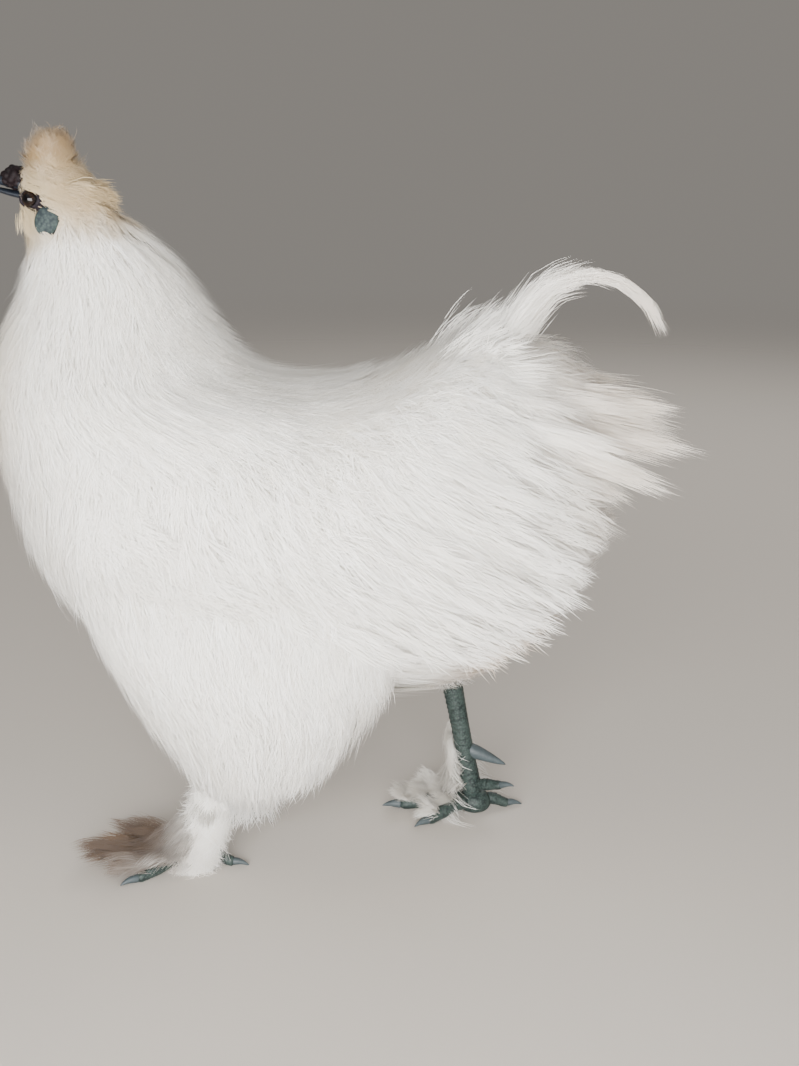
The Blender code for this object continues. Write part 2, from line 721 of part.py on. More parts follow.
def foot_pieces(side_name, grow, into):
    """Shank, pad and toes, as separate closed pieces. A grown one is the shank alone."""
    hock, foot = shank_path(side_name)
    path = [blend(hock, foot, share) for share in (0.0, 0.35, 0.70, 0.97)]
    radii = [SHANK_RADIUS * scale + grow for scale in (1.10, 0.95, 0.96, 1.10)]
    pieces = [tube("shank", path, radii, into, sides=9)]
    if grow:
        return pieces
    centre = Vector(FOOT[side_name]) + Vector((0, 0, PAD_HEIGHT))
    pad = ellipsoid("pad", centre, PAD_RADII, into, segments=10, rings=6)
    for v in pad.data.vertices:
        v.co.z = max(v.co.z, 0.0)
    pieces.append(pad)
    for toe in TOES:
        points, radius = toe_path(side_name, toe)
        scales = [1.08, 0.95, 0.96, 0.86, TOE_TAPER]
        pieces.append(tube("toe_" + toe, points, [radius * s for s in scales], into, sides=6, floor=0.0))
    return pieces


def foot_feathers(side_name, draw, into):
    """Feathers down the outer side of the shank and the middle and outer toes, which lie over the floor."""
    hock, foot = shank_path(side_name)
    outward = -1 if side_name == "left" else 1
    roots = [(blend(hock, foot, share), heading, length, -0.75) for share, heading, length in SHANK_FEATHERS]
    for toe, share, heading, length in TOE_FEATHERS:
        points, radius = toe_path(side_name, toe)
        at = share * (len(points) - 1)
        roots.append((points[int(at)].lerp(points[int(at) + 1], at % 1), heading, length, -0.10))
    for root, heading, length, fall in roots:
        turn = math.radians(heading + draw.uniform(-6, 6))
        out = Vector((-math.cos(turn), outward * math.sin(turn), 0.0))
        root = Vector((root.x, root.y, max(root.z, 0.0045)))
        tip = root + out * length
        tip.z = max(root.z + length * fall, FLOOR_CLEAR + 0.0012)
        bend = root.lerp(tip, 0.45) + Vector((0.0, 0.0, 0.006))
        path, taper = [], PLUME_TAPER
        for k in range(len(taper) + 1):
            s = k / len(taper)
            point = root * (1 - s) ** 2 + bend * 2 * s * (1 - s) + tip * s * s
            point.z = max(point.z, FLOOR_CLEAR + 0.0012)
            path.append(point)
        face = out.cross(Vector((0, 0, 1))).cross(out).normalized()
        vane("foot_feather", path, [face] * len(taper), [FOOT_FEATHER_WIDTH * t for t in taper],
             [VANE_THICK] * len(taper), into, flat=True)


def foot(name, side_name, draw, into):
    """One foot: its pieces fused into one body."""
    pieces = collection("Foot pieces", hidden=True)
    body = foot_pieces(side_name, 0.0, pieces)[0]
    foot_feathers(side_name, draw, pieces)
    pieces.objects.unlink(body)
    into.objects.link(body)
    body.name = name
    boolean(body, "UNION", pieces, "MANIFOLD")
    bpy.data.collections.remove(pieces)
    thin_out(body, FOOT_THINNING)
    return body


def claw(name, side_name, toe, into):
    """A curved claw whose flat root meets the toe's end."""
    points, radius = toe_path(side_name, toe)
    ahead = (points[-1] - points[-2]).normalized()
    length = TOES[toe][4]
    start = points[-1] + ahead * GAP
    path, radii = [], []
    for share, scale in ((0.0, 0.86), (0.35, 0.72), (0.7, 0.44)):
        path.append(start + ahead * length * share + Vector((0, 0, math.sin(share * 2.4) * CLAW_ARCH)))
        radii.append(radius * TOE_TAPER * scale)
    tip = start + ahead * length
    tip.z = max(tip.z - CLAW_ARCH, CLAW_CLEAR)
    return tube(name, path, radii, into, tip=tip, sides=6, floor=CLAW_CLEAR, root=ahead)


def spur(name, side_name, into, work):
    """The spur, which leaves the inner back of the shank, hollowed to fit it, and points back and down."""
    hock, foot = shank_path(side_name)
    inward = 1 if side_name == "left" else -1
    share = (hock.z - SPUR_HEIGHT) / (hock.z - foot.z)
    ahead = Vector((0.90, 0.12 * inward, -0.36)).normalized()
    start = blend(hock, foot, share)
    reach = SHANK_RADIUS + SPUR_LENGTH
    path = [start + ahead * reach * s for s in (0.1, 0.3, 0.55, 0.8)]
    radii = [SPUR_RADIUS * s for s in (1.0, 1.0, 0.78, 0.46)]
    made = tube(name, path, radii, into, tip=start + ahead * reach)
    boolean(made, "DIFFERENCE", foot_pieces(side_name, GAP, work)[0])
    keep_largest(made)
    return made


def part_of(whole, name, keep, drop, into):
    """The part of the whole that lies in the kept regions and outside the dropped ones."""
    made = copy_of(whole, name, into)
    for region in keep:
        boolean(made, "INTERSECT", region, "MANIFOLD")
    for region in drop:
        boolean(made, "DIFFERENCE", region, "MANIFOLD")
    keep_largest(made)
    return made


def lay_ring(form, u, count, width, reach, stagger, draw, into, wanted=None, tip_lift=0.0025):
    """One ring of locks round a form."""
    step = 2 * math.pi / count
    for k in range(count):
        theta = step * (k + stagger + draw.uniform(-0.08, 0.08))
        long = min(reach * draw.uniform(0.92, 1.12), form.last - u - 0.02)
        drift = step * draw.uniform(-0.22, 0.22)
        wide = width * draw.uniform(0.90, 1.0)
        lift = draw.uniform(-0.001, tip_lift)
        tip = form.on(u + long, theta + drift)
        if wanted is None or wanted(u, theta, form.on(u, theta), tip):
            coat_lock(form, u, theta, long, drift, wide, lift, into)


def outside(point, cut):
    """How far a point is on the outer side of a cut."""
    return (point - Vector(cut[0])).dot(Vector(cut[1]).normalized())


def under_wing(u, theta):
    """Whether a place on the body is well inside the wing's outline."""
    column = (u - WING_FROM[0]) / (WING_TO[0] - WING_FROM[0])
    if not 0.06 < column < 0.94:
        return False
    turned = math.degrees(abs((theta + math.pi) % (2 * math.pi) - math.pi))
    middle = blend(WING_FROM[1], WING_TO[1], column)
    row = 0.5 + (turned - middle) / (WING_SPREAD * (1 - 0.45 * column))
    return abs(row - 0.5) < abs(wing_row(0.0, column) - 0.5) * 0.86


def lay_body(draw, into):
    """The body's locks, apart from where neck, tail and wings lie. They get ragged towards the stern."""
    form = Form(TORSO, coat=BODY_COAT)

    def wanted(u, theta, root, tip):
        at_neck = outside(tip, NECK_CUT) > 0.004 and tip.x < NECK_CUT[0][0] + NECK_BACK
        at_tail = outside(root, TAIL_CUT) > -0.004
        return not (at_neck or at_tail or under_wing(u + BODY_REACH * 0.4, theta))

    for r, u in enumerate(BODY_ROWS):
        count = max(int(form.girth(u) / BODY_WIDTH), 5)
        ragged = 0.0025 + STERN_LIFT * (u / form.last) ** 4
        lay_ring(form, u, count, BODY_WIDTH, BODY_REACH, 0.5 * (r % 2), draw, into, wanted, ragged)


def lay_hackle(draw, into):
    """The hackle: long, narrow locks that fall from the head to the shoulders."""
    form = Form(NECK, coat=NECK_COAT)
    for r, (u, count, width) in enumerate(zip(HACKLE_ROWS, HACKLE_ROUND, HACKLE_WIDTH)):
        lay_ring(form, u, count, width, HACKLE_REACH, 0.5 * (r % 2), draw, into)


def lay_thigh(side_name, draw, into):
    """The fluff of a thigh."""
    form = Form(THIGHS[side_name], coat=THIGH_COAT)
    rows = [u * form.last / 5 for u in THIGH_ROWS]
    for r, u in enumerate(rows):
        count = max(int(form.girth(u) / THIGH_WIDTH), 5)
        lay_ring(form, u, count, THIGH_WIDTH, THIGH_LOCK_REACH, 0.5 * (r % 2), draw, into)


def lay_crest(draw, into):
    """The crest: a tuft on the crown, whose locks stand up round a core, and a puff down the nape."""
    form_solid("crest_core", Form(CREST[:CREST_CORE], -CREST_COAT / 2), into, 3, 10)
    tuft = Form(CREST, coat=CREST_COAT, thick=PLUME_THICK, sink=PLUME_SINK)
    for r, (u, count, reach) in enumerate(CREST_ROWS):
        lay_ring(tuft, u, count, PLUME_WIDTH, reach, 0.5 * (r % 2), draw, into, tip_lift=0.001)
    nape = Form(HEAD, thick=PLUME_THICK, sink=PLUME_SINK)
    for r, (u, reach, lift) in enumerate(NAPE_ROWS):
        for angle in NAPE_ANGLES[r % 2:]:
            theta = math.radians(angle - 19 * (r % 2) + draw.uniform(-3, 3))
            coat_lock(nape, u, theta, reach, draw.uniform(-0.1, 0.1), PLUME_WIDTH, lift, into)


def lay_cheeks(draw, into):
    """The muffs: small feathers under and behind the eyes, which lie back and down."""
    form = Form(HEAD)
    for side in SIDES.values():
        for u, angle, length in CHEEK:
            theta = side * math.radians(angle)
            root = form.at(u, theta, -0.003)
            face = form.normal(u, theta)
            start = face * 0.75 + Vector((0.55, 0.0, -0.45))
            end = face * 0.15 + Vector((0.75, 0.0, -0.75))
            broad = face.cross(end)
            plume(root, start, end, length * draw.uniform(0.9, 1.1), PLUME_WIDTH, PLUME_THICK, broad, into)


def lids(side, into):
    """The ring of an eye's lids."""
    x, y, z = EYE
    outward = Vector((-0.35, side, 0.10)).normalized()
    across = outward.cross(Vector((0, 0, 1))).normalized()
    up = across.cross(outward)
    centre = Vector((x, side * y, z)) + outward * EYE_RADIUS * 0.30
    bm = bmesh.new()
    around, sides = 12, 4
    rows = []
    for k in range(around):
        angle = 2 * math.pi * k / around
        out = across * math.cos(angle) + up * math.sin(angle) * 0.90
        ring = []
        for s in range(sides):
            turn = 2 * math.pi * s / sides
            bulge = out * math.cos(turn) + outward * math.sin(turn)
            ring.append(bm.verts.new(centre + out * LID_RADIUS + bulge * LID_THICK))
        rows.append(ring)
    for k in range(around):
        near, far = rows[k], rows[(k + 1) % around]
        for s in range(sides):
            t = (s + 1) % sides
            bm.faces.new((near[s], near[t], far[t]))
            bm.faces.new((near[s], far[t], far[s]))
    return mesh_object("lids", bm, into)


def lay_tail(draw, into):
    """The tail: a drooping fan on each side, a cushion of coverts over it, and the sickle that arches up."""
    root = Vector(TAIL_ROOT)
    for side in SIDES.values():
        for x, z, spread, width, arch in TAIL_FAN:
            tip = Vector((x, side * spread, z))
            start = root + Vector((0.0, side * spread * TAIL_ROOT_SPREAD, (z - root.z) * 0.12))
            bend = start.lerp(tip, 0.5) + Vector((0.0, side * spread * 0.25, arch))
            feather(start, bend, tip, width * draw.uniform(0.92, 1.08), Vector((0.0, 1.0, 0.35 * side)), into)
        for x, z, spread, width in CUSHION:
            tip = Vector((x, side * spread, z))
            start = root + Vector((-0.014, side * spread * 0.45, 0.004))
            bend = start.lerp(tip, 0.55) + Vector((-0.006, side * spread * 0.30, 0.004))
            feather(start, bend, tip, width, Vector((-0.4, side * 0.9, 0.5)), into)
    line = [Vector((x, -0.004 + 0.010 * k / len(SICKLE), z)) for k, (x, z) in enumerate(SICKLE)]
    faces = [SICKLE_FACE] * len(line)
    vane("sickle", line, faces, SICKLE_WIDTHS, [VANE_THICK] * len(line), into)


def feather(start, bend, tip, width, face, into):
    """A tail or wing feather on a curve that passes near its bend."""
    path = []
    steps = len(VANE_TAPER)
    for k in range(steps + 1):
        s = k / steps
        path.append(start * (1 - s) ** 2 + bend * 2 * s * (1 - s) + tip * s * s)
    widths = [width * s for s in VANE_TAPER]
    vane("feather", path, [face] * steps, widths, [VANE_THICK] * steps, into)


def wing(name, form, side, draw, into):
    """A folded wing: a thin pad in its socket, with tiers of feathers that lie back over one another."""
    pad = wing_block(name, form, side, WING_FLOOR, WING_TOP, into)
    feathers = collection("Wing feathers", hidden=True)
    for count, first, last, width, low, high in WING_TIERS:
        for k in range(count):
            share = (k + 0.5) / count
            path, normals = [], []
            steps = len(VANE_TAPER)
            reach = last - 0.10 * share - 0.02 * draw.random()
            for n in range(steps + 1):
                s = n / steps
                column = blend(first, reach, s)
                row = wing_row(blend(0.14 + 0.72 * share, 0.20 + 0.66 * share, s), column)
                path.append(wing_patch(form, side, row, column, blend(low, high, s)))
                here = wing_patch(form, side, row, column, 0.0)
                outward = wing_patch(form, side, row, column, 0.001) - here
                lower = wing_patch(form, side, row + 0.05, column, 0.0) - here
                normals.append(outward.normalized() + lower.normalized() * FEATHER_TILT)
            widths = [width * t for t in VANE_TAPER]
            vane("feather", path, normals, widths, [VANE_THICK] * steps, feathers, flat=True)
    boolean(pad, "UNION", feathers, "MANIFOLD")
    bpy.data.collections.remove(feathers)
    return pad


def coat(draw, work):
    """The whole coat of head, neck, body, tail and thighs, as one closed body."""
    whole = form_solid("whole", Form(TORSO, -BODY_COAT / 2), work, 13, 20)
    pieces = collection("Pieces", hidden=True)
    form_solid("neck_core", Form(NECK, -NECK_COAT / 2), pieces, 6, 16)
    form_solid("head_core", Form(HEAD), pieces, 7, 16)
    ellipsoid("rump", RUMP, RUMP_RADII, pieces, segments=12, rings=7)
    for side_name, side in SIDES.items():
        form_solid("thigh_core", Form(THIGHS[side_name], -THIGH_COAT / 2), pieces, 5, 14)
        lay_thigh(side_name, draw, pieces)
        lids(side, pieces)
    lay_body(draw, pieces)
    lay_hackle(draw, pieces)
    lay_crest(draw, pieces)
    lay_cheeks(draw, pieces)
    lay_tail(draw, pieces)
    boolean(whole, "UNION", pieces, "MANIFOLD")
    bpy.data.collections.remove(pieces)
    keep_largest(whole)
    thin_out(whole, COAT_THINNING)
    return whole


def shifted(cut, by):
    """A cut's point moved along its normal, and the normal."""
    normal = Vector(cut[1]).normalized()
    return Vector(cut[0]) + normal * by, normal


def body_nodes(draw, parts, work):
    """The nodes that are parted from the coat, and the wings in their sockets."""
    whole = coat(draw, work)
    form = Form(TORSO, coat=BODY_COAT)
    half = GAP / 2
    made = {}

    def wing_off(side):
        return wing_block("off", form, side, WING_FLOOR - WING_GAP, WING_CLEAR, work, grow=GAP)

    made["head"] = part_of(whole, "head", [half_space("on", *shifted(HEAD_CUT, half), work)], [], parts)
    made["neck"] = part_of(whole, "neck", [neck_block("on", -half, work)],
                           [half_space("off", *shifted(HEAD_CUT, -half), work)], parts)
    made["tail"] = part_of(whole, "tail", [half_space("on", *shifted(TAIL_CUT, half), work)], [], parts)
    drops = [neck_block("off", half, work), half_space("off", *shifted(TAIL_CUT, -half), work)]
    for side_name, side in SIDES.items():
        drops += [thigh_block("off", side_name, half, work), wing_off(side)]
    made["torso"] = part_of(whole, "torso", [], drops, parts)
    for side_name, side in SIDES.items():
        name = "thigh_" + side_name
        drops = [wing_off(side), foot_pieces(side_name, GAP, work)[0]]
        made[name] = part_of(whole, name, [thigh_block("on", side_name, -half, work)], drops, parts)
        made["wing_" + side_name] = wing("wing_" + side_name, form, side, draw, parts)
    bpy.data.objects.remove(whole)
    return made


def head_organs(head, parts, work):
    """Eyes, comb, bill, earlobes and wattles, each in a socket cut to its shape."""
    made = {}
    organs = organ_makers()
    for i, (name, maker) in enumerate(organs.items()):
        boolean(head, "DIFFERENCE", maker("off", GAP, work), "MANIFOLD")
        made[name] = maker(name, 0.0, parts)
        for earlier in list(organs)[:i]:
            boolean(made[name], "DIFFERENCE", organs[earlier]("off", GAP, work))
    for side in SIDES.values():
        boolean(made["beak_upper"], "DIFFERENCE", nostril(side, work))
    return made


def leg_nodes(draw, parts):
    """Feet with their feathers, claws and spurs."""
    made = {}
    work = collection("Leg work", hidden=True)
    for side_name in SIDES:
        made["foot_" + side_name] = foot("foot_" + side_name, side_name, draw, parts)
        for toe in TOES:
            name = "claw_" + side_name + "_" + toe
            made[name] = claw(name, side_name, toe, parts)
        made["spur_" + side_name] = spur("spur_" + side_name, side_name, parts, work)
    return made


def stand_on_origin(nodes):
    """Moves the nodes so that the middle of their common box stands on the origin."""
    points = [v.co for node in nodes for v in node.data.vertices]
    middle = Vector([(min(p[i] for p in points) + max(p[i] for p in points)) / 2 for i in range(2)] + [0.0])
    for node in nodes:
        node.data.transform(Matrix.Translation(-middle))


def main():
    """Builds every node."""
    clear_scene()
    parts = collection("Silkie cock")
    work = collection("Work", hidden=True)
    draw = random.Random(SEED)
    made = body_nodes(draw, parts, work)
    made.update(head_organs(made["head"], parts, work))
    made.update(leg_nodes(draw, parts))
    finish = {
        "plumage": material("plumage", WHITE, 0.9),
        "head": material("crest plumage", CREAM, 0.9),
        "foot": material("leg scales", SLATE, 0.55),
        "comb": material("comb", MULBERRY, 0.45),
        "earlobe": material("earlobe", TURQUOISE, 0.5),
        "horn": material("horn", HORN, 0.35),
        "eye": material("eye", BLACK, 0.05),
    }
    finish["wattle"] = finish["comb"]
    for kind in ("beak", "claw", "spur"):
        finish[kind] = finish["horn"]
    for name, node in made.items():
        keep_largest(node)
        node.data.materials.clear()
        node.data.materials.append(finish.get(name.split("_")[0], finish["plumage"]))
    stand_on_origin(made.values())


main()
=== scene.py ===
"""A white silkie cock in mid stride, as a still, life-size model.

One skin carries the flesh. Silky down grows over it in plumes, each a cluster of thin barbs that follow
the lie of the feathers. Comb, bill, eyes, earlobes, wattles, claws and spurs are pieces of their own.
Places are in metres. The bill points to -X, and the bird's left side is at -Y. Body, neck, thighs, head,
crest, legs and the outline of the wings have the same stations and places as the solids. Rump, tail,
tiers of the wings and foot feathers have their own here. All of it is moved by the same step as the
solids were.
"""
import math

import bpy
import numpy as np
from mathutils import Matrix, Vector
from mathutils.bvhtree import BVHTree


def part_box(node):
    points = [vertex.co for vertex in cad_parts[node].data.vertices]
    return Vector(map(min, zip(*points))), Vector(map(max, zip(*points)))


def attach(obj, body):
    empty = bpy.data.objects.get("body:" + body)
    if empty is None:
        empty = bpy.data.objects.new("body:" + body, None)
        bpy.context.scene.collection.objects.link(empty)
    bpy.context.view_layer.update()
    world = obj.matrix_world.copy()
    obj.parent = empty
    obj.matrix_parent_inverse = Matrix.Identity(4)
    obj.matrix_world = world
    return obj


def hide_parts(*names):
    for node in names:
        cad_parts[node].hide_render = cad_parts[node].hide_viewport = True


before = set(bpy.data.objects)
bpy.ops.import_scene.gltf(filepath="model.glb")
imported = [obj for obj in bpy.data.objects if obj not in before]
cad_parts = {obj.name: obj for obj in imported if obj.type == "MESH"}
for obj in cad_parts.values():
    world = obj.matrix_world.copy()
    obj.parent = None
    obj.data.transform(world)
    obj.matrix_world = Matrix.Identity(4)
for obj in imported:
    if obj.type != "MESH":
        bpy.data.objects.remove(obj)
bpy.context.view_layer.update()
DRAW = np.random.default_rng(17)
SIDES = {"left": -1, "right": 1}

# Stations of the coat's outer surface: (x, z) before or below, (x, z) behind or above, middle y, half width.
TORSO = [
    ((-0.184, 0.262), (-0.122, 0.268), 0.0, 0.040),
    ((-0.203, 0.236), (-0.092, 0.262), 0.0, 0.068),
    ((-0.197, 0.194), (-0.062, 0.259), 0.0, 0.082),
    ((-0.183, 0.152), (-0.030, 0.257), 0.0, 0.088),
    ((-0.150, 0.118), (0.000, 0.264), 0.0, 0.090),
    ((-0.095, 0.094), (0.022, 0.276), 0.0, 0.088),
    ((-0.030, 0.086), (0.038, 0.284), 0.0, 0.080),
    ((0.030, 0.094), (0.054, 0.284), 0.0, 0.068),
    ((0.070, 0.118), (0.070, 0.266), 0.0, 0.050),
    ((0.092, 0.150), (0.084, 0.238), 0.0, 0.032),
    ((0.100, 0.178), (0.094, 0.210), 0.0, 0.013),
]
NECK = [
    ((-0.181, 0.336), (-0.138, 0.342), 0.0, 0.019),
    ((-0.183, 0.320), (-0.127, 0.330), 0.0, 0.026),
    ((-0.190, 0.298), (-0.108, 0.306), 0.0, 0.037),
    ((-0.201, 0.272), (-0.091, 0.280), 0.0, 0.053),
    ((-0.205, 0.244), (-0.070, 0.261), 0.0, 0.071),
    ((-0.200, 0.214), (-0.026, 0.252), 0.0, 0.080),
]
THIGHS = {
    "left": [
        ((-0.158, 0.150), (0.003, 0.142), -0.046, 0.036),
        ((-0.149, 0.124), (-0.003, 0.118), -0.046, 0.038),
        ((-0.135, 0.098), (-0.010, 0.097), -0.045, 0.036),
        ((-0.119, 0.074), (-0.026, 0.074), -0.042, 0.030),
        ((-0.108, 0.054), (-0.042, 0.055), -0.039, 0.022),
        ((-0.097, 0.042), (-0.062, 0.043), -0.037, 0.011),
    ],
    "right": [
        ((-0.060, 0.140), (0.058, 0.146), 0.038, 0.030),
        ((-0.042, 0.116), (0.056, 0.122), 0.038, 0.029),
        ((-0.016, 0.097), (0.051, 0.102), 0.036, 0.024),
        ((0.008, 0.084), (0.044, 0.088), 0.034, 0.016),
        ((0.018, 0.077), (0.037, 0.079), 0.033, 0.009),
    ],
}
HEAD = [
    ((-0.1815, 0.314), (-0.134, 0.328), 0.0, 0.020),
    ((-0.1825, 0.328), (-0.142, 0.338), 0.0, 0.0175),
    ((-0.1840, 0.338), (-0.147, 0.346), 0.0, 0.0155),
    ((-0.1850, 0.348), (-0.151, 0.353), 0.0, 0.0135),
    ((-0.1815, 0.356), (-0.156, 0.358), 0.0, 0.0100),
    ((-0.174, 0.360), (-0.164, 0.361), 0.0, 0.0045),
]
CREST = [
    ((-0.1800, 0.3490), (-0.1530, 0.3490), 0.0, 0.0125),
    ((-0.1820, 0.3575), (-0.1535, 0.3575), 0.0, 0.0145),
    ((-0.1818, 0.3655), (-0.1545, 0.3655), 0.0, 0.0150),
    ((-0.1790, 0.3715), (-0.1575, 0.3720), 0.0, 0.0125),
    ((-0.1730, 0.3750), (-0.1630, 0.3755), 0.0, 0.0060),
]
RUMP = [
    ((0.040, 0.224), (0.040, 0.268), 0.0, 0.022),
    ((0.052, 0.212), (0.052, 0.277), 0.0, 0.032),
    ((0.070, 0.207), (0.070, 0.275), 0.0, 0.036),
    ((0.090, 0.208), (0.085, 0.266), 0.0, 0.031),
    ((0.103, 0.218), (0.098, 0.252), 0.0, 0.019),
    ((0.110, 0.230), (0.106, 0.240), 0.0, 0.006),
]
# How deep the coat is on body, neck and thighs, and how far the flesh lies under the middle of that depth.
BODY_COAT = 0.017
NECK_COAT = 0.013
THIGH_COAT = 0.013
FLESH_SINK = 0.001

# Feathers of the fan: x and z of the tip, half spread in y, width, and how much they arch.
TAIL_FAN = (
    (0.102, 0.252, 0.010, 0.020, 0.006), (0.126, 0.243, 0.020, 0.020, 0.008),
    (0.148, 0.235, 0.008, 0.019, 0.014), (0.154, 0.218, 0.018, 0.020, 0.016),
    (0.140, 0.204, 0.034, 0.020, 0.016), (0.124, 0.192, 0.014, 0.020, 0.014),
    (0.116, 0.224, 0.046, 0.020, 0.012), (0.113, 0.173, 0.012, 0.020, 0.010),
)
# Coverts of the cushion before the sickle: x and z of the tip, and half spread in y.
CUSHION = (
    (0.060, 0.288, 0.012), (0.052, 0.280, 0.028), (0.062, 0.270, 0.030), (0.072, 0.258, 0.038),
)
TAIL_ROOT = (0.060, 0.0, 0.250)
# The sickle's middle line as x and z, and its half widths across the line and across the bird.
SICKLE = [
    (0.022, 0.244), (0.045, 0.263), (0.0585, 0.285), (0.0735, 0.3015), (0.094, 0.3065), (0.111, 0.3020),
    (0.1235, 0.2918), (0.1315, 0.2765),
]
SICKLE_HALF = [0.006, 0.009, 0.0098, 0.0066, 0.0032, 0.0024, 0.0020, 0.0012]
SICKLE_DEEP = [0.016, 0.020, 0.017, 0.012, 0.0070, 0.0050, 0.0040, 0.0020]

# The folded wing: station and angle in degrees of its shoulder and tip, and its spread.
WING_FROM = (1.9, 104)
WING_TO = (6.7, 128)
WING_SPREAD = 48

# Where neck and body part: a point there and the way up across it, and how far behind the point it goes.
NECK_CUT = ((-0.125, 0.0, 0.2420), (-0.22, 0.0, 0.975))
NECK_BACK = 0.092

EYE = (-0.1765, 0.0100, 0.3425)
EYE_RADIUS = 0.0046
BILL_ROOT = (-0.1800, 0.0, 0.3468)
BILL_LENGTH = 0.025
BILL_TILT = math.radians(12)
LOBE = (-0.1685, 0.0160, 0.3325)
LOBE_RADII = (0.0058, 0.0022, 0.0072)
# The middle of the part of the earlobe that the down leaves bare.
LOBE_SEEN = (-0.1672, 0.0160, 0.3322)
WATTLE = (-0.1790, 0.0060, 0.3325)
WATTLE_RADII = (0.0028, 0.0024, 0.0042)
COMB = (-0.1868, 0.0, 0.3524)
COMB_RADII = (0.0062, 0.0064, 0.0054)
COMB_TURN = math.radians(-25)

# Where each shank starts, inside the thigh, and where it meets the floor.
HOCK = {"left": (-0.084, -0.036, 0.080), "right": (0.027, 0.033, 0.090)}
FOOT = {"left": (-0.107, -0.031, 0.0), "right": (0.043, 0.032, 0.0)}
SHANK_RADIUS = 0.0056
PAD_HEIGHT = 0.0050
# Toes: heading and climb in degrees, length, radius at the root, and length of the claw.
TOES = {
    "1": (172, 0, 0.020, 0.0036, 0.0080),
    "2": (-36, 0, 0.034, 0.0040, 0.0090),
    "3": (0, 0, 0.043, 0.0044, 0.0100),
    "4": (36, 0, 0.036, 0.0040, 0.0090),
    "5": (-138, 16, 0.022, 0.0034, 0.0090),
}
# How far down the shank the fifth toe starts.
FIFTH_TOE_SHARE = 0.88
TOE_ARCH = 0.0022
TOE_TAPER = 0.70
TOE_STEPS = 13

# How the solids were moved, found from an eye's place.
SHIFT = (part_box("eye_left")[0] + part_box("eye_left")[1]) / 2 - Vector((EYE[0], -EYE[1], EYE[2]))

# The camera, for a picture that is 1066 pixels high. Its place, its focal length and its tilt in degrees are
# estimates.
PHOTO_HEIGHT = 1066
FOCAL_PIXELS = 1400
SENSOR = 36.0
CAMERA_PLACE = (0.0, -0.70, 0.37)
CAMERA_TILT = 15.7

# Studio lamps: name, place, size and watts.
LAMPS = (
    ("key", (-0.10, -0.84, 0.16), 0.7, 38.0), ("fill", (1.4, -1.2, 0.7), 1.6, 8.0),
    ("rim", (0.5, 1.4, 1.4), 1.2, 18.0),
)
LAMPS_AIM = (0, 0, 0.2)

# Scales of patterns are cells to the metre, written as the count to the centimetre times this.
CENTIMETRE = 100.0


def hex_colour(code):
    """An sRGB hex colour as linear values."""
    found = []
    for i in (0, 2, 4):
        value = int(code[i:i + 2], 16) / 255
        found.append(value / 12.92 if value <= 0.04045 else ((value + 0.055) / 1.055) ** 2.4)
    return (*found, 1.0)


def new_finish(name):
    """A material and its emptied node tree."""
    made = bpy.data.materials.new(name)
    made.use_nodes = True
    made.node_tree.nodes.clear()
    return made, made.node_tree


def add_node(tree, kind, inputs=(), **settings):
    """A node with its settings. Each input is a socket to link from, or a value."""
    made = tree.nodes.new(kind)
    for key, value in settings.items():
        setattr(made, key, value)
    for key, value in dict(inputs).items():
        if isinstance(value, bpy.types.NodeSocket):
            tree.links.new(value, made.inputs[key])
        else:
            made.inputs[key].default_value = value
    return made


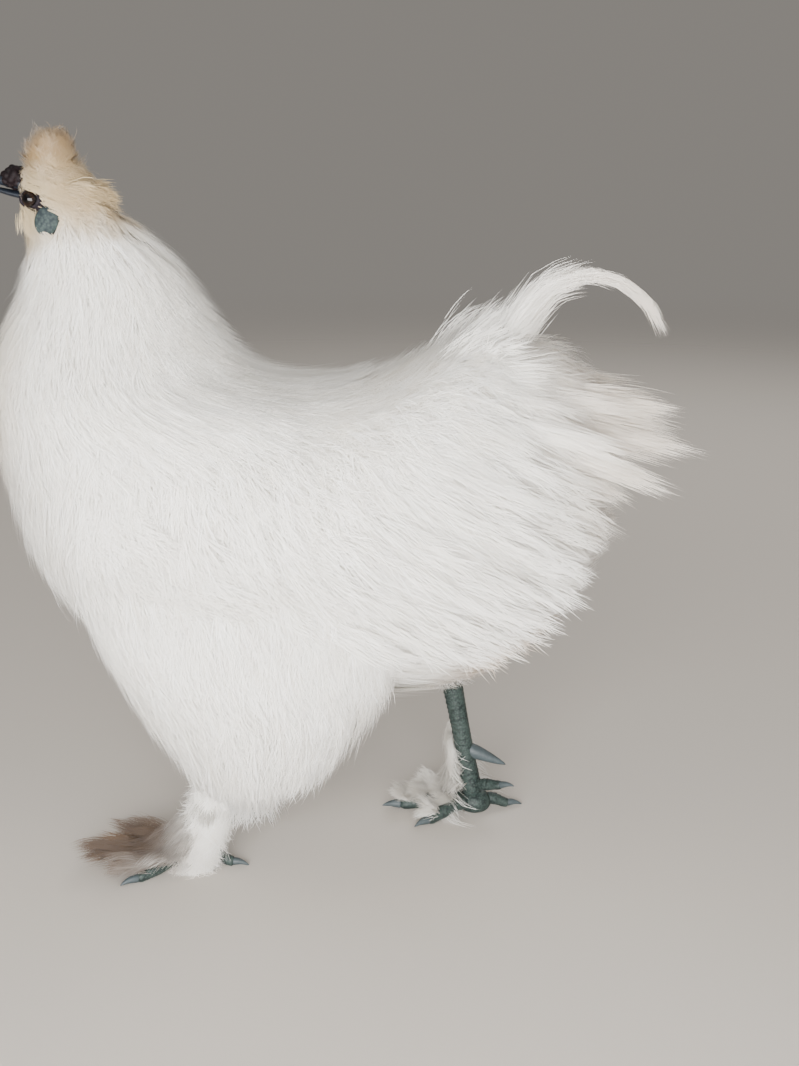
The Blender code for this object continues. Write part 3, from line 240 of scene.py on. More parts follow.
class Form:
    """A lofted surface through stations, read at places u along it and angles theta round it."""

    # How far to either side a slope is taken, in stations or radians, and the least half size of a ring.
    STEP = 0.02
    LEAST = 0.002

    def __init__(self, stations, grow=0.0):
        under = np.array([(ax, y, az) for (ax, az), _, y, _ in stations])
        upper = np.array([(bx, y, bz) for _, (bx, bz), y, _ in stations])
        half = (upper - under) / 2
        size = np.linalg.norm(half, axis=1, keepdims=True)
        half = half / size * np.maximum(size + grow, self.LEAST)
        side = np.zeros_like(half)
        side[:, 1] = np.maximum(np.array([s[3] for s in stations]) + grow, self.LEAST)
        self.rings = np.stack([(under + upper) / 2, half, side], axis=1)
        self.last = len(stations) - 1

    def ring(self, u):
        """Centre, upward half axis and sideways half axis at u, by a Catmull-Rom spline."""
        u = np.asarray(u, float)
        i = np.clip(np.floor(u).astype(int), 0, self.last - 1)
        past = u - i
        t = np.clip(past, 0, 1)[..., None, None]
        a, b = self.rings[np.maximum(i - 1, 0)], self.rings[i]
        c, d = self.rings[i + 1], self.rings[np.minimum(i + 2, self.last)]
        square, cube = 2 * a - 5 * b + 4 * c - d, 3 * b - a - 3 * c + d
        found = 0.5 * (2 * b + (c - a) * t + square * t * t + cube * t ** 3)
        found[..., 0, :] += (c - b)[..., 0, :] * (past[..., None] - t[..., 0])
        return found

    def on(self, u, theta):
        """Points at u and theta. Theta 0 is the back or top, and positive theta turns to +Y."""
        ring = self.ring(u)
        theta = np.asarray(theta, float)[..., None]
        return ring[..., 0, :] + ring[..., 1, :] * np.cos(theta) + ring[..., 2, :] * np.sin(theta)

    def normal(self, u, theta):
        """Outward normals."""
        along = self.on(u + self.STEP, theta) - self.on(u - self.STEP, theta)
        around = self.on(u, theta + self.STEP) - self.on(u, theta - self.STEP)
        found = np.cross(around, along)
        outward = self.on(u, theta) - self.ring(u)[..., 0, :]
        found *= np.where((found * outward).sum(-1, keepdims=True) > 0, 1.0, -1.0)
        return found / np.maximum(np.linalg.norm(found, axis=-1, keepdims=True), 1e-12)

    def around(self, u, theta):
        """Metres for each radian round the form."""
        ring = self.ring(u)
        up, side = np.linalg.norm(ring[..., 1, :], axis=-1), np.linalg.norm(ring[..., 2, :], axis=-1)
        return np.maximum(np.hypot(up * np.sin(theta), side * np.cos(theta)), 0.004)

    def area(self, u, theta):
        """How much surface lies at u and theta, for an even spread of roots."""
        along = self.on(u + self.STEP, theta) - self.on(u - self.STEP, theta)
        return self.around(u, theta) * np.linalg.norm(along, axis=-1)

    def holds(self, points):
        """Whether points lie inside, for a form whose rings lie level."""
        level = self.rings[:, 0, 2]
        order = np.argsort(level)
        u = np.interp(points[:, 2], level[order], np.arange(self.last + 1)[order])
        ring = self.ring(u)
        off = points - ring[:, 0]
        up, side = np.linalg.norm(ring[:, 1], axis=-1), np.linalg.norm(ring[:, 2], axis=-1)
        inside = (off[:, 0] / up) ** 2 + (off[:, 1] / side) ** 2 < 1
        return inside & (points[:, 2] > level.min()) & (points[:, 2] < level.max())


# Stains and tints of skin and coat, and painted shade on the head, under the stern and on the tail: middle,
# radii, colour and strength.
STAINS_AND_PAINTED_SHADE = [
    # Cream of the crest, made darker by painted shade, as the head lies in shade.
    ((-0.166, 0.0, 0.366), (0.028, 0.028, 0.026), "a88b60", 0.96),
    # Cream of the nape, made darker by painted shade.
    ((-0.150, 0.0, 0.343), (0.042, 0.044, 0.026), "bfa981", 0.94),
    ((-0.176, 0.0, 0.3600), (0.011, 0.022, 0.008), "ad8b4c", 0.60),
    ((-0.174, 0.0, 0.3490), (0.008, 0.022, 0.006), "b9a76e", 0.45),
    # Cream of the face and throat, made darker by painted shade.
    ((-0.180, 0.0, 0.335), (0.022, 0.034, 0.026), "c6b48f", 0.92),
    ((-0.198, 0.0, 0.245), (0.036, 0.070, 0.060), "efe6d7", 0.55),
    # Brown under the stern: painted shade under the rear fluff, with some stain near the vent.
    ((0.062, 0.0, 0.108), (0.054, 0.070, 0.034), "b08f66", 0.70),
    # Tan on the fans and stern: partly a stain, partly painted shade.
    ((0.125, 0.0, 0.235), (0.075, 0.080, 0.115), "d3c5b3", 0.55),
    ((-0.150, -0.030, 0.014), (0.052, 0.044, 0.034), "6e5236", 0.94),
    ((0.020, 0.032, 0.020), (0.040, 0.030, 0.022), "c9c2b6", 0.50),
]


# The edges of the stains and of the painted shade wander by up to half of this.
RAGGED = 0.016


def with_stains_and_painted_shade(tree, colour):
    """A colour socket: the colour with every stain and every patch of painted shade over it, in flecks of
    about 11 mm at its edge.
    """
    place = add_node(tree, "ShaderNodeTexCoord").outputs["Object"]
    ragged = add_node(tree, "ShaderNodeTexNoise", {"Vector": place, "Scale": 0.9 * CENTIMETRE, "Detail": 3.0})
    wander = add_node(tree, "ShaderNodeVectorMath", {0: ragged.outputs["Color"], 1: (0.5, 0.5, 0.5)},
                      operation="SUBTRACT")
    wander = add_node(tree, "ShaderNodeVectorMath", {0: wander.outputs[0], "Scale": RAGGED},
                      operation="SCALE")
    moved = add_node(tree, "ShaderNodeVectorMath", {0: place, 1: wander.outputs[0]}, operation="ADD")
    for middle, radii, code, strength in STAINS_AND_PAINTED_SHADE:
        centre = Vector(middle) + SHIFT
        off = add_node(tree, "ShaderNodeVectorMath", {0: moved.outputs[0], 1: centre}, operation="SUBTRACT")
        share = add_node(tree, "ShaderNodeVectorMath", {0: off.outputs[0], 1: radii}, operation="DIVIDE")
        far = add_node(tree, "ShaderNodeVectorMath", {0: share.outputs[0]}, operation="LENGTH")
        fade = add_node(tree, "ShaderNodeMapRange", {
            "Value": far.outputs["Value"], "From Min": 1.15, "From Max": 0.35, "To Max": strength,
        }, interpolation_type="SMOOTHSTEP").outputs["Result"]
        blend = add_node(tree, "ShaderNodeMix", {0: fade, 6: colour, 7: hex_colour(code)}, data_type="RGBA")
        colour = blend.outputs[2]
    return colour


def silky_down():
    """Silky down: keratin barbs with no hooks.

    To the eye it is soft and white, with hardly any gloss: light soaks in and comes through, and a faint
    sheen is left.
    """
    made, tree = new_finish("silky down")
    tone = add_node(tree, "ShaderNodeAttribute", attribute_name="tone").outputs["Fac"]
    white = add_node(tree, "ShaderNodeMix", {0: tone, 6: hex_colour("e9e4da"), 7: hex_colour("fdfcf9")},
                     data_type="RGBA")
    # The white with its stains, and with painted shade on the head, under the stern and on the tail.
    colour = with_stains_and_painted_shade(tree, white.outputs[2])
    surface = add_node(tree, "ShaderNodeBsdfPrincipled", {
        "Base Color": colour, "Roughness": 0.75, "Sheen Weight": 0.25, "Sheen Roughness": 0.5,
        "Specular IOR Level": 0.25,
    })
    through = add_node(tree, "ShaderNodeBsdfTranslucent", {"Color": colour})
    both = add_node(tree, "ShaderNodeMixShader", {0: 0.35, 1: surface.outputs[0], 2: through.outputs[0]})
    add_node(tree, "ShaderNodeOutputMaterial", {"Surface": both.outputs[0]})
    return made


def underdown():
    """The short, dense down on the skin, under the plumes.

    To the eye it is a matt, slightly darker white between them, with a fuzz of about 1 mm.
    """
    made, tree = new_finish("underdown")
    place = add_node(tree, "ShaderNodeTexCoord").outputs["Object"]
    fuzz = add_node(tree, "ShaderNodeTexNoise", {"Vector": place, "Scale": 9 * CENTIMETRE, "Detail": 4.0})
    fuzz = fuzz.outputs["Fac"]
    white = add_node(tree, "ShaderNodeMix", {0: fuzz, 6: hex_colour("dcd6ca"), 7: hex_colour("f4f1ea")},
                     data_type="RGBA")
    bump = add_node(tree, "ShaderNodeBump", {"Height": fuzz, "Strength": 0.6, "Distance": 0.001})
    # The skin's colour takes the same stains and painted shade as the down.
    surface = add_node(tree, "ShaderNodeBsdfPrincipled", {
        "Base Color": with_stains_and_painted_shade(tree, white.outputs[2]), "Roughness": 0.95, "Normal": bump.outputs[0],
    })
    add_node(tree, "ShaderNodeOutputMaterial", {"Surface": surface.outputs[0]})
    return made


def skin_finish(name, dark, light, pebbles, depth, rough=0.5):
    """A bare, pebbled skin, with so many pebbles to the centimetre.

    To the eye it is dark and dull, with small raised cells whose edges are darker, so it never looks smooth.
    """
    made, tree = new_finish(name)
    place = add_node(tree, "ShaderNodeTexCoord").outputs["Object"]
    scale = pebbles * CENTIMETRE
    cells = add_node(tree, "ShaderNodeTexVoronoi", {"Vector": place, "Scale": scale}, feature="F1")
    cells = cells.outputs["Distance"]
    broad = add_node(tree, "ShaderNodeTexNoise", {"Vector": place, "Scale": scale / 5, "Detail": 3.0})
    broad = broad.outputs["Fac"]
    both = add_node(tree, "ShaderNodeMath", {0: cells, 1: broad}, operation="MULTIPLY").outputs[0]
    share = add_node(tree, "ShaderNodeMapRange", {"Value": both, "From Min": 0.05, "From Max": 0.45})
    colour = add_node(tree, "ShaderNodeMix", {
        0: share.outputs["Result"], 6: hex_colour(light), 7: hex_colour(dark),
    }, data_type="RGBA")
    bump = add_node(tree, "ShaderNodeBump", {"Height": cells, "Strength": -0.5, "Distance": depth})
    surface = add_node(tree, "ShaderNodeBsdfPrincipled", {
        "Base Color": colour.outputs[2], "Roughness": rough, "Specular IOR Level": 0.2,
        "Normal": bump.outputs[0],
    })
    add_node(tree, "ShaderNodeOutputMaterial", {"Surface": surface.outputs[0]})
    return made


def horn_finish(name, dark, light):
    """Horn of bill and claws, grown in layers.

    To the eye it is smooth and a little glossy, with faint, uneven marks of growth about 4 mm apart.
    """
    made, tree = new_finish(name)
    place = add_node(tree, "ShaderNodeTexCoord").outputs["Object"]
    lines = add_node(tree, "ShaderNodeTexNoise", {
        "Vector": place, "Scale": 2.6 * CENTIMETRE, "Detail": 4.0, "Distortion": 0.6,
    }).outputs["Fac"]
    colour = add_node(tree, "ShaderNodeMix", {0: lines, 6: hex_colour(dark), 7: hex_colour(light)},
                      data_type="RGBA")
    bump = add_node(tree, "ShaderNodeBump", {"Height": lines, "Strength": 0.3, "Distance": 0.0002})
    surface = add_node(tree, "ShaderNodeBsdfPrincipled", {
        "Base Color": colour.outputs[2], "Roughness": 0.50, "Specular IOR Level": 0.3,
        "Normal": bump.outputs[0],
    })
    add_node(tree, "ShaderNodeOutputMaterial", {"Surface": surface.outputs[0]})
    return made


def eye_finish():
    """A wet eye: black pupil, dark brown iris and near-black rim, by each point's angle from the eye's axis.

    To the eye it is dark and smooth, and its low roughness gives the small, sharp glint of the tear film.
    """
    made, tree = new_finish("wet eye")
    gaze = add_node(tree, "ShaderNodeAttribute", attribute_name="gaze").outputs["Fac"]
    iris = add_node(tree, "ShaderNodeMapRange", {"Value": gaze, "From Min": 0.135, "From Max": 0.155})
    rim = add_node(tree, "ShaderNodeMapRange", {"Value": gaze, "From Min": 0.27, "From Max": 0.30})
    inner = add_node(tree, "ShaderNodeMix", {
        0: iris.outputs[0], 6: hex_colour("050405"), 7: hex_colour("170d08"),
    }, data_type="RGBA")
    colour = add_node(tree, "ShaderNodeMix", {
        0: rim.outputs[0], 6: inner.outputs[2], 7: hex_colour("0c0a0b"),
    }, data_type="RGBA")
    surface = add_node(tree, "ShaderNodeBsdfPrincipled", {
        "Base Color": colour.outputs[2], "Roughness": 0.10, "Specular IOR Level": 0.25,
    })
    add_node(tree, "ShaderNodeOutputMaterial", {"Surface": surface.outputs[0]})
    return made


# Skins: dark and light colour, pebbles to the centimetre, depth of their relief, and roughness.
FINISH = {
    "down": silky_down(), "underdown": underdown(),
    "face": skin_finish("bare face skin", "0c090d", "211a20", 13, 0.0002, 0.70),
    "legs": skin_finish("scaly leg skin", "1b2221", "38433f", 9, 0.0003),
    "comb": skin_finish("comb skin", "070304", "15090d", 15, 0.0002, 0.70),
    "earlobe": skin_finish("earlobe skin", "20272a", "3a4543", 7, 0.0002, 0.70),
    "bill": horn_finish("bill horn", "0b0e14", "1a212b"),
    "claw": horn_finish("claw horn", "23292b", "4a5355"),
    "eye": eye_finish(),
}

# Barbs: shares along a barb at which it has a pair of edges, the last of them its tip, and its width there.
BARB_STEPS = np.array([0.0, 0.38, 0.72, 1.0])
BARB_TAPER = np.array([0.85, 1.0, 0.70])
# How a barb's width varies, its mean tone from dark to light, and about one turn, for the phase of its wave.
BARB_VARIES = (0.75, 1.2)
TONE = 0.62
TURN = 6.28
# How far a barb's edges are shaded away from its middle, so that it looks round.
BARB_ROUND = 0.22
MOST_BARBS = 38000
# The side of a tuft's patch on the unwrap, and the part of the unwrap that a form has when it is alone on it.
PATCH = 0.003
WHOLE = (0.02, 0.02, 0.94, 0.94)
# Tries for each root that is wanted, and the grid on which the densest place of a form is looked for.
TRIES = 6
DENSITY_GRID = 40


def spread_roots(form, count, low, high, wanted=None):
    """Places for about that many roots, evenly over a form between two stations."""
    grid_u, grid_theta = np.meshgrid(
        np.linspace(low, high, DENSITY_GRID), np.linspace(-math.pi, math.pi, DENSITY_GRID))
    densest = form.area(grid_u, grid_theta).max()
    u = DRAW.uniform(low, high, count * TRIES)
    theta = DRAW.uniform(-math.pi, math.pi, count * TRIES)
    kept = DRAW.uniform(0, densest, count * TRIES) < form.area(u, theta)
    u, theta = u[kept][:count], theta[kept][:count]
    if wanted is not None:
        kept = wanted(u, theta, form.on(u, theta))
        u, theta = u[kept], theta[kept]
    return u, theta


# How a plume's lift rises from root to tip, and how far at most a coat lifts a barb out of its creases.
PLUME_RISE = 0.6
CREASE_LIFT = 0.04


def chart_spot(form, u, theta, chart):
    """The place of a root on the unwrap, in the rectangle that its form has there."""
    left, bottom, wide, tall = chart
    return left + wide * np.clip(u / form.last, 0, 1), bottom + tall * (theta / math.tau + 0.5)


def grow(form, roots, reach, drift, lifts, barbs, spread, width, chart, pull=None, *, loose, coat=None):
    """Plumes on a form: clusters of barbs which leave each root along its reach and drift and fan out.

    Reach is in stations and drift in radians. Lifts are how far root and tip stand off the form. Chart is
    the rectangle of the unwrap that the form has: left, bottom, width, height. Pull moves each plume's tip.
    Loose is how much the tips stray. A coat lifts barbs out of its creases and turns them as it turns.
    """
    u, theta = roots
    n = len(u)
    owner = np.repeat(np.arange(n), barbs)
    m = len(owner)
    start = DRAW.uniform(0.0, 0.42, m)
    end = start + DRAW.uniform(0.42, 0.78, m)
    share = start[:, None] + (end - start)[:, None] * BARB_STEPS
    aside = np.clip(DRAW.normal(0, 0.5, m), -1.2, 1.2)[:, None] * spread * BARB_STEPS ** 1.2
    phase = DRAW.uniform(0, TURN, (m, 1))
    sway = DRAW.uniform(0.0002, 0.0011, (m, 1))
    aside = aside + sway * np.sin(phase + 5.0 * share) * (0.3 + share)
    reach = np.broadcast_to(reach, (n,))[owner, None] * DRAW.uniform(0.85, 1.12, (n,))[owner, None]
    drift = np.broadcast_to(drift, (n,))[owner, None] + DRAW.normal(0, 0.05, (n,))[owner, None]
    root_lift, tip_lift = lifts
    high = np.broadcast_to(tip_lift, (n,))[owner, None] + DRAW.normal(0, loose, (n,))[owner, None]
    high = high + DRAW.normal(0, loose * 0.8, (m, 1))
    lift = root_lift + (high - root_lift) * share ** PLUME_RISE
    at_u = u[owner, None] + reach * share
    at_theta = theta[owner, None] + drift * share
    at_theta = at_theta + aside / form.around(at_u, at_theta)
    face = form.normal(at_u, at_theta)
    path = form.on(at_u, at_theta) + face * lift[..., None]
    if pull is not None:
        path += np.broadcast_to(pull, (n, 3))[owner, None] * share[..., None] ** 1.7
    if coat is not None:
        above, out = coat.read(path)
        path += out * np.clip(lift - above, 0.0, CREASE_LIFT)[..., None]
        face = unit(face + 2.0 * out)
    at = np.stack(chart_spot(form, u, theta, chart), axis=1)
    return {
        "path": path, "face": face, "width": width * DRAW.uniform(*BARB_VARIES, m),
        "tone": np.clip(DRAW.normal(TONE, 0.16, (n,))[owner] + DRAW.normal(0, 0.10, m), 0, 1),
        "root": at[owner], "seat": (np.arange(m) % barbs) / barbs,
    }


# A feather's barbs: their thickness, how much they stray, and the share of the feather that one runs along.
VANE_BARB = 0.00034
VANE_LOOSE = 0.0007
VANE_REACH = (0.16, 0.34)
# The shaft, as three strips that overlap, each by its shares of the feather, and how much thicker it is.
SHAFT = np.array([[0.0, 0.14, 0.26, 0.40], [0.36, 0.50, 0.62, 0.74], [0.70, 0.80, 0.90, 1.0]])
SHAFT_THICKER = 1.8


def feather(line, faces, width, barbs, root):
    """A feather: its shaft, and loose barbs on both sides, which are soft as they don't hook together."""
    line = np.array(line)
    faces = np.broadcast_to(np.array(faces, float), line.shape)
    long = DRAW.uniform(*VANE_REACH, barbs)
    start = DRAW.uniform(0.0, 1.02 - long)
    hand = DRAW.choice([-1.0, 1.0], barbs)
    share = start[:, None] + long[:, None] * BARB_STEPS
    broad = width / 2 * np.interp(start, [0, 0.35, 0.75, 1], [0.5, 1.0, 0.9, 0.45])
    off = (hand * broad * DRAW.uniform(0.55, 1.15, barbs))[:, None] * BARB_STEPS ** 0.75
    lift = DRAW.normal(0, VANE_LOOSE, (barbs, 1)) * BARB_STEPS
    share = np.concatenate([SHAFT, share])
    off = np.concatenate([np.zeros_like(SHAFT), off])
    lift = np.concatenate([np.zeros_like(SHAFT), lift])
    path, face = beside(line, faces, share, off, lift)
    total = len(share)
    sizes = VANE_BARB * DRAW.uniform(*BARB_VARIES, total)
    sizes[:len(SHAFT)] = VANE_BARB * SHAFT_THICKER
    return {
        "path": path, "face": face, "width": sizes,
        "tone": np.clip(DRAW.normal(TONE, 0.10) + DRAW.normal(0, 0.10, total), 0, 1),
        "root": np.tile(np.array(root, float), (total, 1)), "seat": np.arange(total) / total,
    }


def beside(line, faces, share, off, lift):
    """Places at shares of a line, moved off it sideways and along its outward faces, and those faces."""
    face = unit(along(faces, share))
    ahead = unit(along(line, share + 0.02) - along(line, share))
    side = unit(np.cross(ahead, face))
    return along(line, share) + side * off[..., None] + face * lift[..., None], face


def lock(line, faces, width, barbs, root, loose, thick, point, deep=0.5):
    """A lock of down: long barbs side by side along a line, which draw together towards its point.

    Loose is how much they stray, thick is a barb's thickness, point is the share of the width that the tip
    keeps, and deep is the lock's depth as a share of its width.
    """
    line = np.array(line)
    faces = np.broadcast_to(np.array(faces, float), line.shape)
    start = DRAW.uniform(0.0, 0.55, barbs)
    end = np.minimum(start + DRAW.uniform(0.35, 0.70, barbs), DRAW.uniform(0.84, 1.0, barbs))
    share = start[:, None] + (end - start)[:, None] * BARB_STEPS
    broad = width / 2 * np.interp(share, [0.0, 0.25, 0.6, 1.0], [0.55, 0.95, 0.85, point])
    off = np.clip(DRAW.normal(0, 0.5, (barbs, 1)), -1.1, 1.1) * broad
    off = off + DRAW.normal(0, loose, (barbs, 1)) * BARB_STEPS
    off = off + 0.4 * loose * np.sin(DRAW.uniform(0, TURN, (barbs, 1)) + 6.0 * share)
    lift = np.clip(DRAW.normal(0, 0.5, (barbs, 1)), -1.1, 1.1) * broad * deep
    path, face = beside(line, faces, share, off, lift)
    return {
        "path": path, "face": face, "width": thick * DRAW.uniform(*BARB_VARIES, barbs),
        "tone": np.clip(DRAW.normal(TONE, 0.05) + DRAW.normal(0, 0.12, barbs), 0, 1),
        "root": np.tile(np.array(root, float), (barbs, 1)), "seat": np.arange(barbs) / barbs,
    }


def join_groups(groups):
    """Several groups of barbs as one."""
    return {key: np.concatenate([group[key] for group in groups]) for key in groups[0]}


def lay_down(name, groups):
    """Makes pieces of down from groups of barbs, cut from front to back so that none has too many."""
    group = join_groups(groups)
    order = np.argsort(group["path"][:, 0, 0], kind="stable")
    parts = np.array_split(order, max(1, math.ceil(len(order) / MOST_BARBS)))
    for number, part in enumerate(parts, 1):
        piece = {key: value[part] for key, value in group.items()}
        label = name if len(parts) == 1 else f"{name}_{number}"
        barb_mesh(label, piece)


def barb_mesh(name, group):
    """One mesh of thin, tapered strips that face outwards, with its unwrap and each barb's tone."""
    path, face = group["path"], group["face"]
    count, steps = path.shape[:2]
    ahead = np.gradient(path, axis=1)
    side = unit(np.cross(ahead, face))
    half = group["width"][:, None, None] * BARB_TAPER[None, :, None] / 2
    edge = side[:, :-1] * half
    points = np.empty((count, 2 * (steps - 1) + 1, 3))
    points[:, 0:-1:2] = path[:, :-1] - edge
    points[:, 1:-1:2] = path[:, :-1] + edge
    points[:, -1] = path[:, -1]
    corners = points.shape[1]
    strip = []
    for k in range(steps - 2):
        strip += [(2 * k, 2 * k + 1, 2 * k + 3), (2 * k, 2 * k + 3, 2 * k + 2)]
    strip.append((corners - 3, corners - 2, corners - 1))
    strip = np.array(strip)
    faces = (strip[None] + corners * np.arange(count)[:, None, None]).reshape(-1)
    mesh = bpy.data.meshes.new(name)
    mesh.vertices.add(count * corners)
    mesh.vertices.foreach_set("co", (points + np.array(SHIFT)).astype(np.float32).ravel())
    mesh.loops.add(len(faces))
    mesh.loops.foreach_set("vertex_index", faces.astype(np.int32))
    mesh.polygons.add(len(faces) // 3)
    mesh.polygons.foreach_set("loop_start", np.arange(0, len(faces), 3, dtype=np.int32))
    mesh.update(calc_edges=True)
    tone = mesh.attributes.new("tone", "FLOAT", "POINT")
    tone.data.foreach_set("value", np.repeat(group["tone"], corners).astype(np.float32))
    along = np.repeat(np.append(BARB_STEPS[:-1].repeat(2), 1.0)[None], count, axis=0)
    across = np.tile(np.append(np.tile([0.0, 0.05], steps - 1), 0.02), (count, 1)) + group["seat"][:, None]
    at = group["root"][:, None, :] + PATCH * np.stack([along, across], axis=-1)
    unwrap = mesh.uv_layers.new(name="OFBake")
    unwrap.data.foreach_set("uv", at.reshape(-1, 2)[faces].astype(np.float32).ravel())
    normals = np.repeat(face, 2, axis=1)[:, :corners]
    normals[:, 0:-1:2] -= side[:, :-1] * BARB_ROUND
    normals[:, 1:-1:2] += side[:, :-1] * BARB_ROUND
    normals /= np.linalg.norm(normals, axis=-1, keepdims=True)
    mesh.normals_split_custom_set_from_vertices(normals.reshape(-1, 3))
    mesh.materials.append(FINISH["down"])
    made = bpy.data.objects.new(name, mesh)
    bpy.context.scene.collection.objects.link(made)
    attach(made, "root")


def only(obj):
    """Selects one object alone and makes it active."""
    bpy.ops.object.select_all(action="DESELECT")
    obj.select_set(True)
    bpy.context.view_layer.objects.active = obj


def smooth(obj):
    """Shades an object smooth."""
    only(obj)
    bpy.ops.object.shade_smooth()


def points_of(obj):
    """An object's points."""
    return np.array([v.co for v in obj.data.vertices])


def set_points(obj, points):
    """Moves an object's points to these."""
    obj.data.vertices.foreach_set("co", points.ravel())
    obj.data.update()


def shaped(name, place, rows, sides):
    """A sphere whose points are set by a function of the share from end to end and the angle round."""
    bpy.ops.object.select_all(action="DESELECT")
    bpy.ops.mesh.primitive_uv_sphere_add(segments=sides, ring_count=rows, radius=1.0)
    made = bpy.context.object
    made.name = name
    points = points_of(made)
    share = np.arccos(np.clip(-points[:, 2], -1, 1)) / math.pi
    theta = np.arctan2(points[:, 1], points[:, 0])
    set_points(made, place(share, theta))
    return made


def shell(name, form, rows, sides, cap):
    """A form's closed surface, with round ends that take up the share cap of its rows."""
    def place(share, theta):
        u = form.last * np.clip((share - cap) / (1 - 2 * cap), 0, 1)
        shrink = np.sin(np.minimum(np.minimum(share, 1 - share) / cap, 1.0) * math.pi / 2)[:, None]
        ring = form.ring(u)
        off = ring[:, 1] * np.cos(theta)[:, None] + ring[:, 2] * np.sin(theta)[:, None]
        return ring[:, 0] + off * shrink

    return shaped(name, place, rows, sides)


def unit(vectors):
    """Vectors scaled to a length of one."""
    return vectors / np.maximum(np.linalg.norm(vectors, axis=-1, keepdims=True), 1e-12)


def along(line, share):
    """Points at shares of a line, carried straight on past its end."""
    at = share * (len(line) - 1)
    i = np.clip(np.floor(at).astype(int), 0, len(line) - 2)
    t = (at - i)[..., None]
    return line[i] * (1 - t) + line[i + 1] * t


def curve(start, bend, tip, steps=12):
    """Points of a curve from start to tip that passes near its bend."""
    s = np.linspace(0, 1, steps)[:, None]
    return np.array(start) * (1 - s) ** 2 + np.array(bend) * 2 * s * (1 - s) + np.array(tip) * s * s


def tube(name, path, radii, rows, sides, shape=None, up=(0.0, 0.0, 1.0)):
    """A closed tube along a path, with round ends. Shape changes its radius."""
    path, radii = np.array(path, float), np.array(radii, float)

    def place(share, theta):
        ahead = unit(along(path, np.minimum(share + 0.02, 1)) - along(path, np.maximum(share - 0.02, 0)))
        across = unit(np.cross(ahead, np.array(up)))
        above = np.cross(across, ahead)
        radius = along(radii[:, None], share)[:, 0]
        end = np.sqrt(np.clip(1 - (np.abs(share - 0.5) * 2) ** 14, 0, 1))
        if shape is not None:
            radius = radius * shape(share, theta)
        radius = (radius * end)[:, None]
        off = across * np.cos(theta)[:, None] + above * np.sin(theta)[:, None]
        return along(path, share) + radius * off

    return shaped(name, place, rows, sides)


def ellipsoid(name, centre, radii, turn=0.0, rows=20, sides=28):
    """An ellipsoid turned about Y."""
    def place(share, theta):
        wide = np.sin(share * math.pi)
        ball = np.stack([wide * np.cos(theta), wide * np.sin(theta), -np.cos(share * math.pi)], axis=1)
        ball = ball * radii
        turned = np.array(Matrix.Rotation(turn, 3, "Y"))
        return np.array(centre) + ball @ turned.T

    return shaped(name, place, rows, sides)


def settle(obj, name, finish=None):
    """Puts a finished piece at its place in the frame, riding on the body."""
    only(obj)
    bpy.ops.object.transform_apply(location=True, rotation=True, scale=True)
    obj.data.transform(Matrix.Translation(SHIFT))
    obj.name = name
    obj.data.name = name
    if finish is not None:
        obj.data.materials.clear()
        obj.data.materials.append(finish)
    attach(obj, "root")
    return obj


def apply_modifier(obj, kind, **settings):
    """Adds a modifier with its settings and applies it."""
    only(obj)
    tool = obj.modifiers.new("shaping", kind)
    for key, value in settings.items():
        setattr(tool, key, value)
    bpy.ops.object.modifier_apply(modifier=tool.name)


def joined(pieces):
    """Joins pieces into the first of them."""
    only(pieces[0])
    for piece in pieces:
        piece.select_set(True)
    bpy.ops.object.join()
    return pieces[0]


# The way that the left eye looks, with Y turned for the right one, and the ring of its lids.
GAZE = (-0.35, 1, 0.10)
LID_RING = {"major_radius": 0.0046, "minor_radius": 0.0010, "major_segments": 36, "minor_segments": 10}
LID_SHAPE = (1.06, 0.86, 1.0)
LID_FORWARD = 0.34
# Sizes of voxels at which flesh is fused: fine on the head and comb, coarse under the down.
HEAD_VOXEL = 0.0006
BODY_VOXEL = 0.0022
COAT_VOXEL = 0.0035
COMB_VOXEL = 0.00042


def gaze_of(side):
    """The way that the eye of a side looks."""
    ahead, aside, above = GAZE
    return Vector((ahead, side * aside, above)).normalized()


def head_shells():
    """The head's flesh: skull, crown and lids."""
    pieces = [shell("flesh", Form(HEAD, -0.0015), 36, 44, 0.10)]
    pieces.append(shell("flesh", Form(CREST[:3], -0.0045), 20, 28, 0.2))
    for side in SIDES.values():
        x, y, z = EYE
        outward = gaze_of(side)
        bpy.ops.object.select_all(action="DESELECT")
        bpy.ops.mesh.primitive_torus_add(**LID_RING)
        lid = bpy.context.object
        lid.scale = LID_SHAPE
        lid.rotation_euler = outward.to_track_quat("Z", "Y").to_euler()
        lid.location = Vector((x, side * y, z)) + outward * EYE_RADIUS * LID_FORWARD
        only(lid)
        bpy.ops.object.transform_apply(location=True, rotation=True, scale=True)
        pieces.append(lid)
    made = joined(pieces)
    apply_modifier(made, "REMESH", mode="VOXEL", voxel_size=HEAD_VOXEL)
    apply_modifier(made, "SMOOTH", factor=0.5, iterations=2)
    return made


def body_shells():
    """The flesh of body, neck, rump and thighs."""
    pieces = [shell("flesh", Form(TORSO, -BODY_COAT / 2 - FLESH_SINK), 40, 48, 0.06)]
    pieces.append(shell("flesh", Form(NECK, -NECK_COAT / 2 - FLESH_SINK), 24, 36, 0.08))
    pieces.append(shell("flesh", Form(RUMP, -0.004), 16, 24, 0.05))
    for stations in THIGHS.values():
        pieces.append(shell("flesh", Form(stations, -THIGH_COAT / 2 - FLESH_SINK), 20, 28, 0.08))
    made = joined(pieces)
    apply_modifier(made, "REMESH", mode="VOXEL", voxel_size=BODY_VOXEL)
    apply_modifier(made, "SMOOTH", factor=0.5, iterations=6)
    return made


def shank_line(side_name):
    """The scaly leg's line, from inside the thigh to the foot's pad."""
    return np.array(HOCK[side_name]), np.array(FOOT[side_name]) + np.array((0.0, 0.0, PAD_HEIGHT))


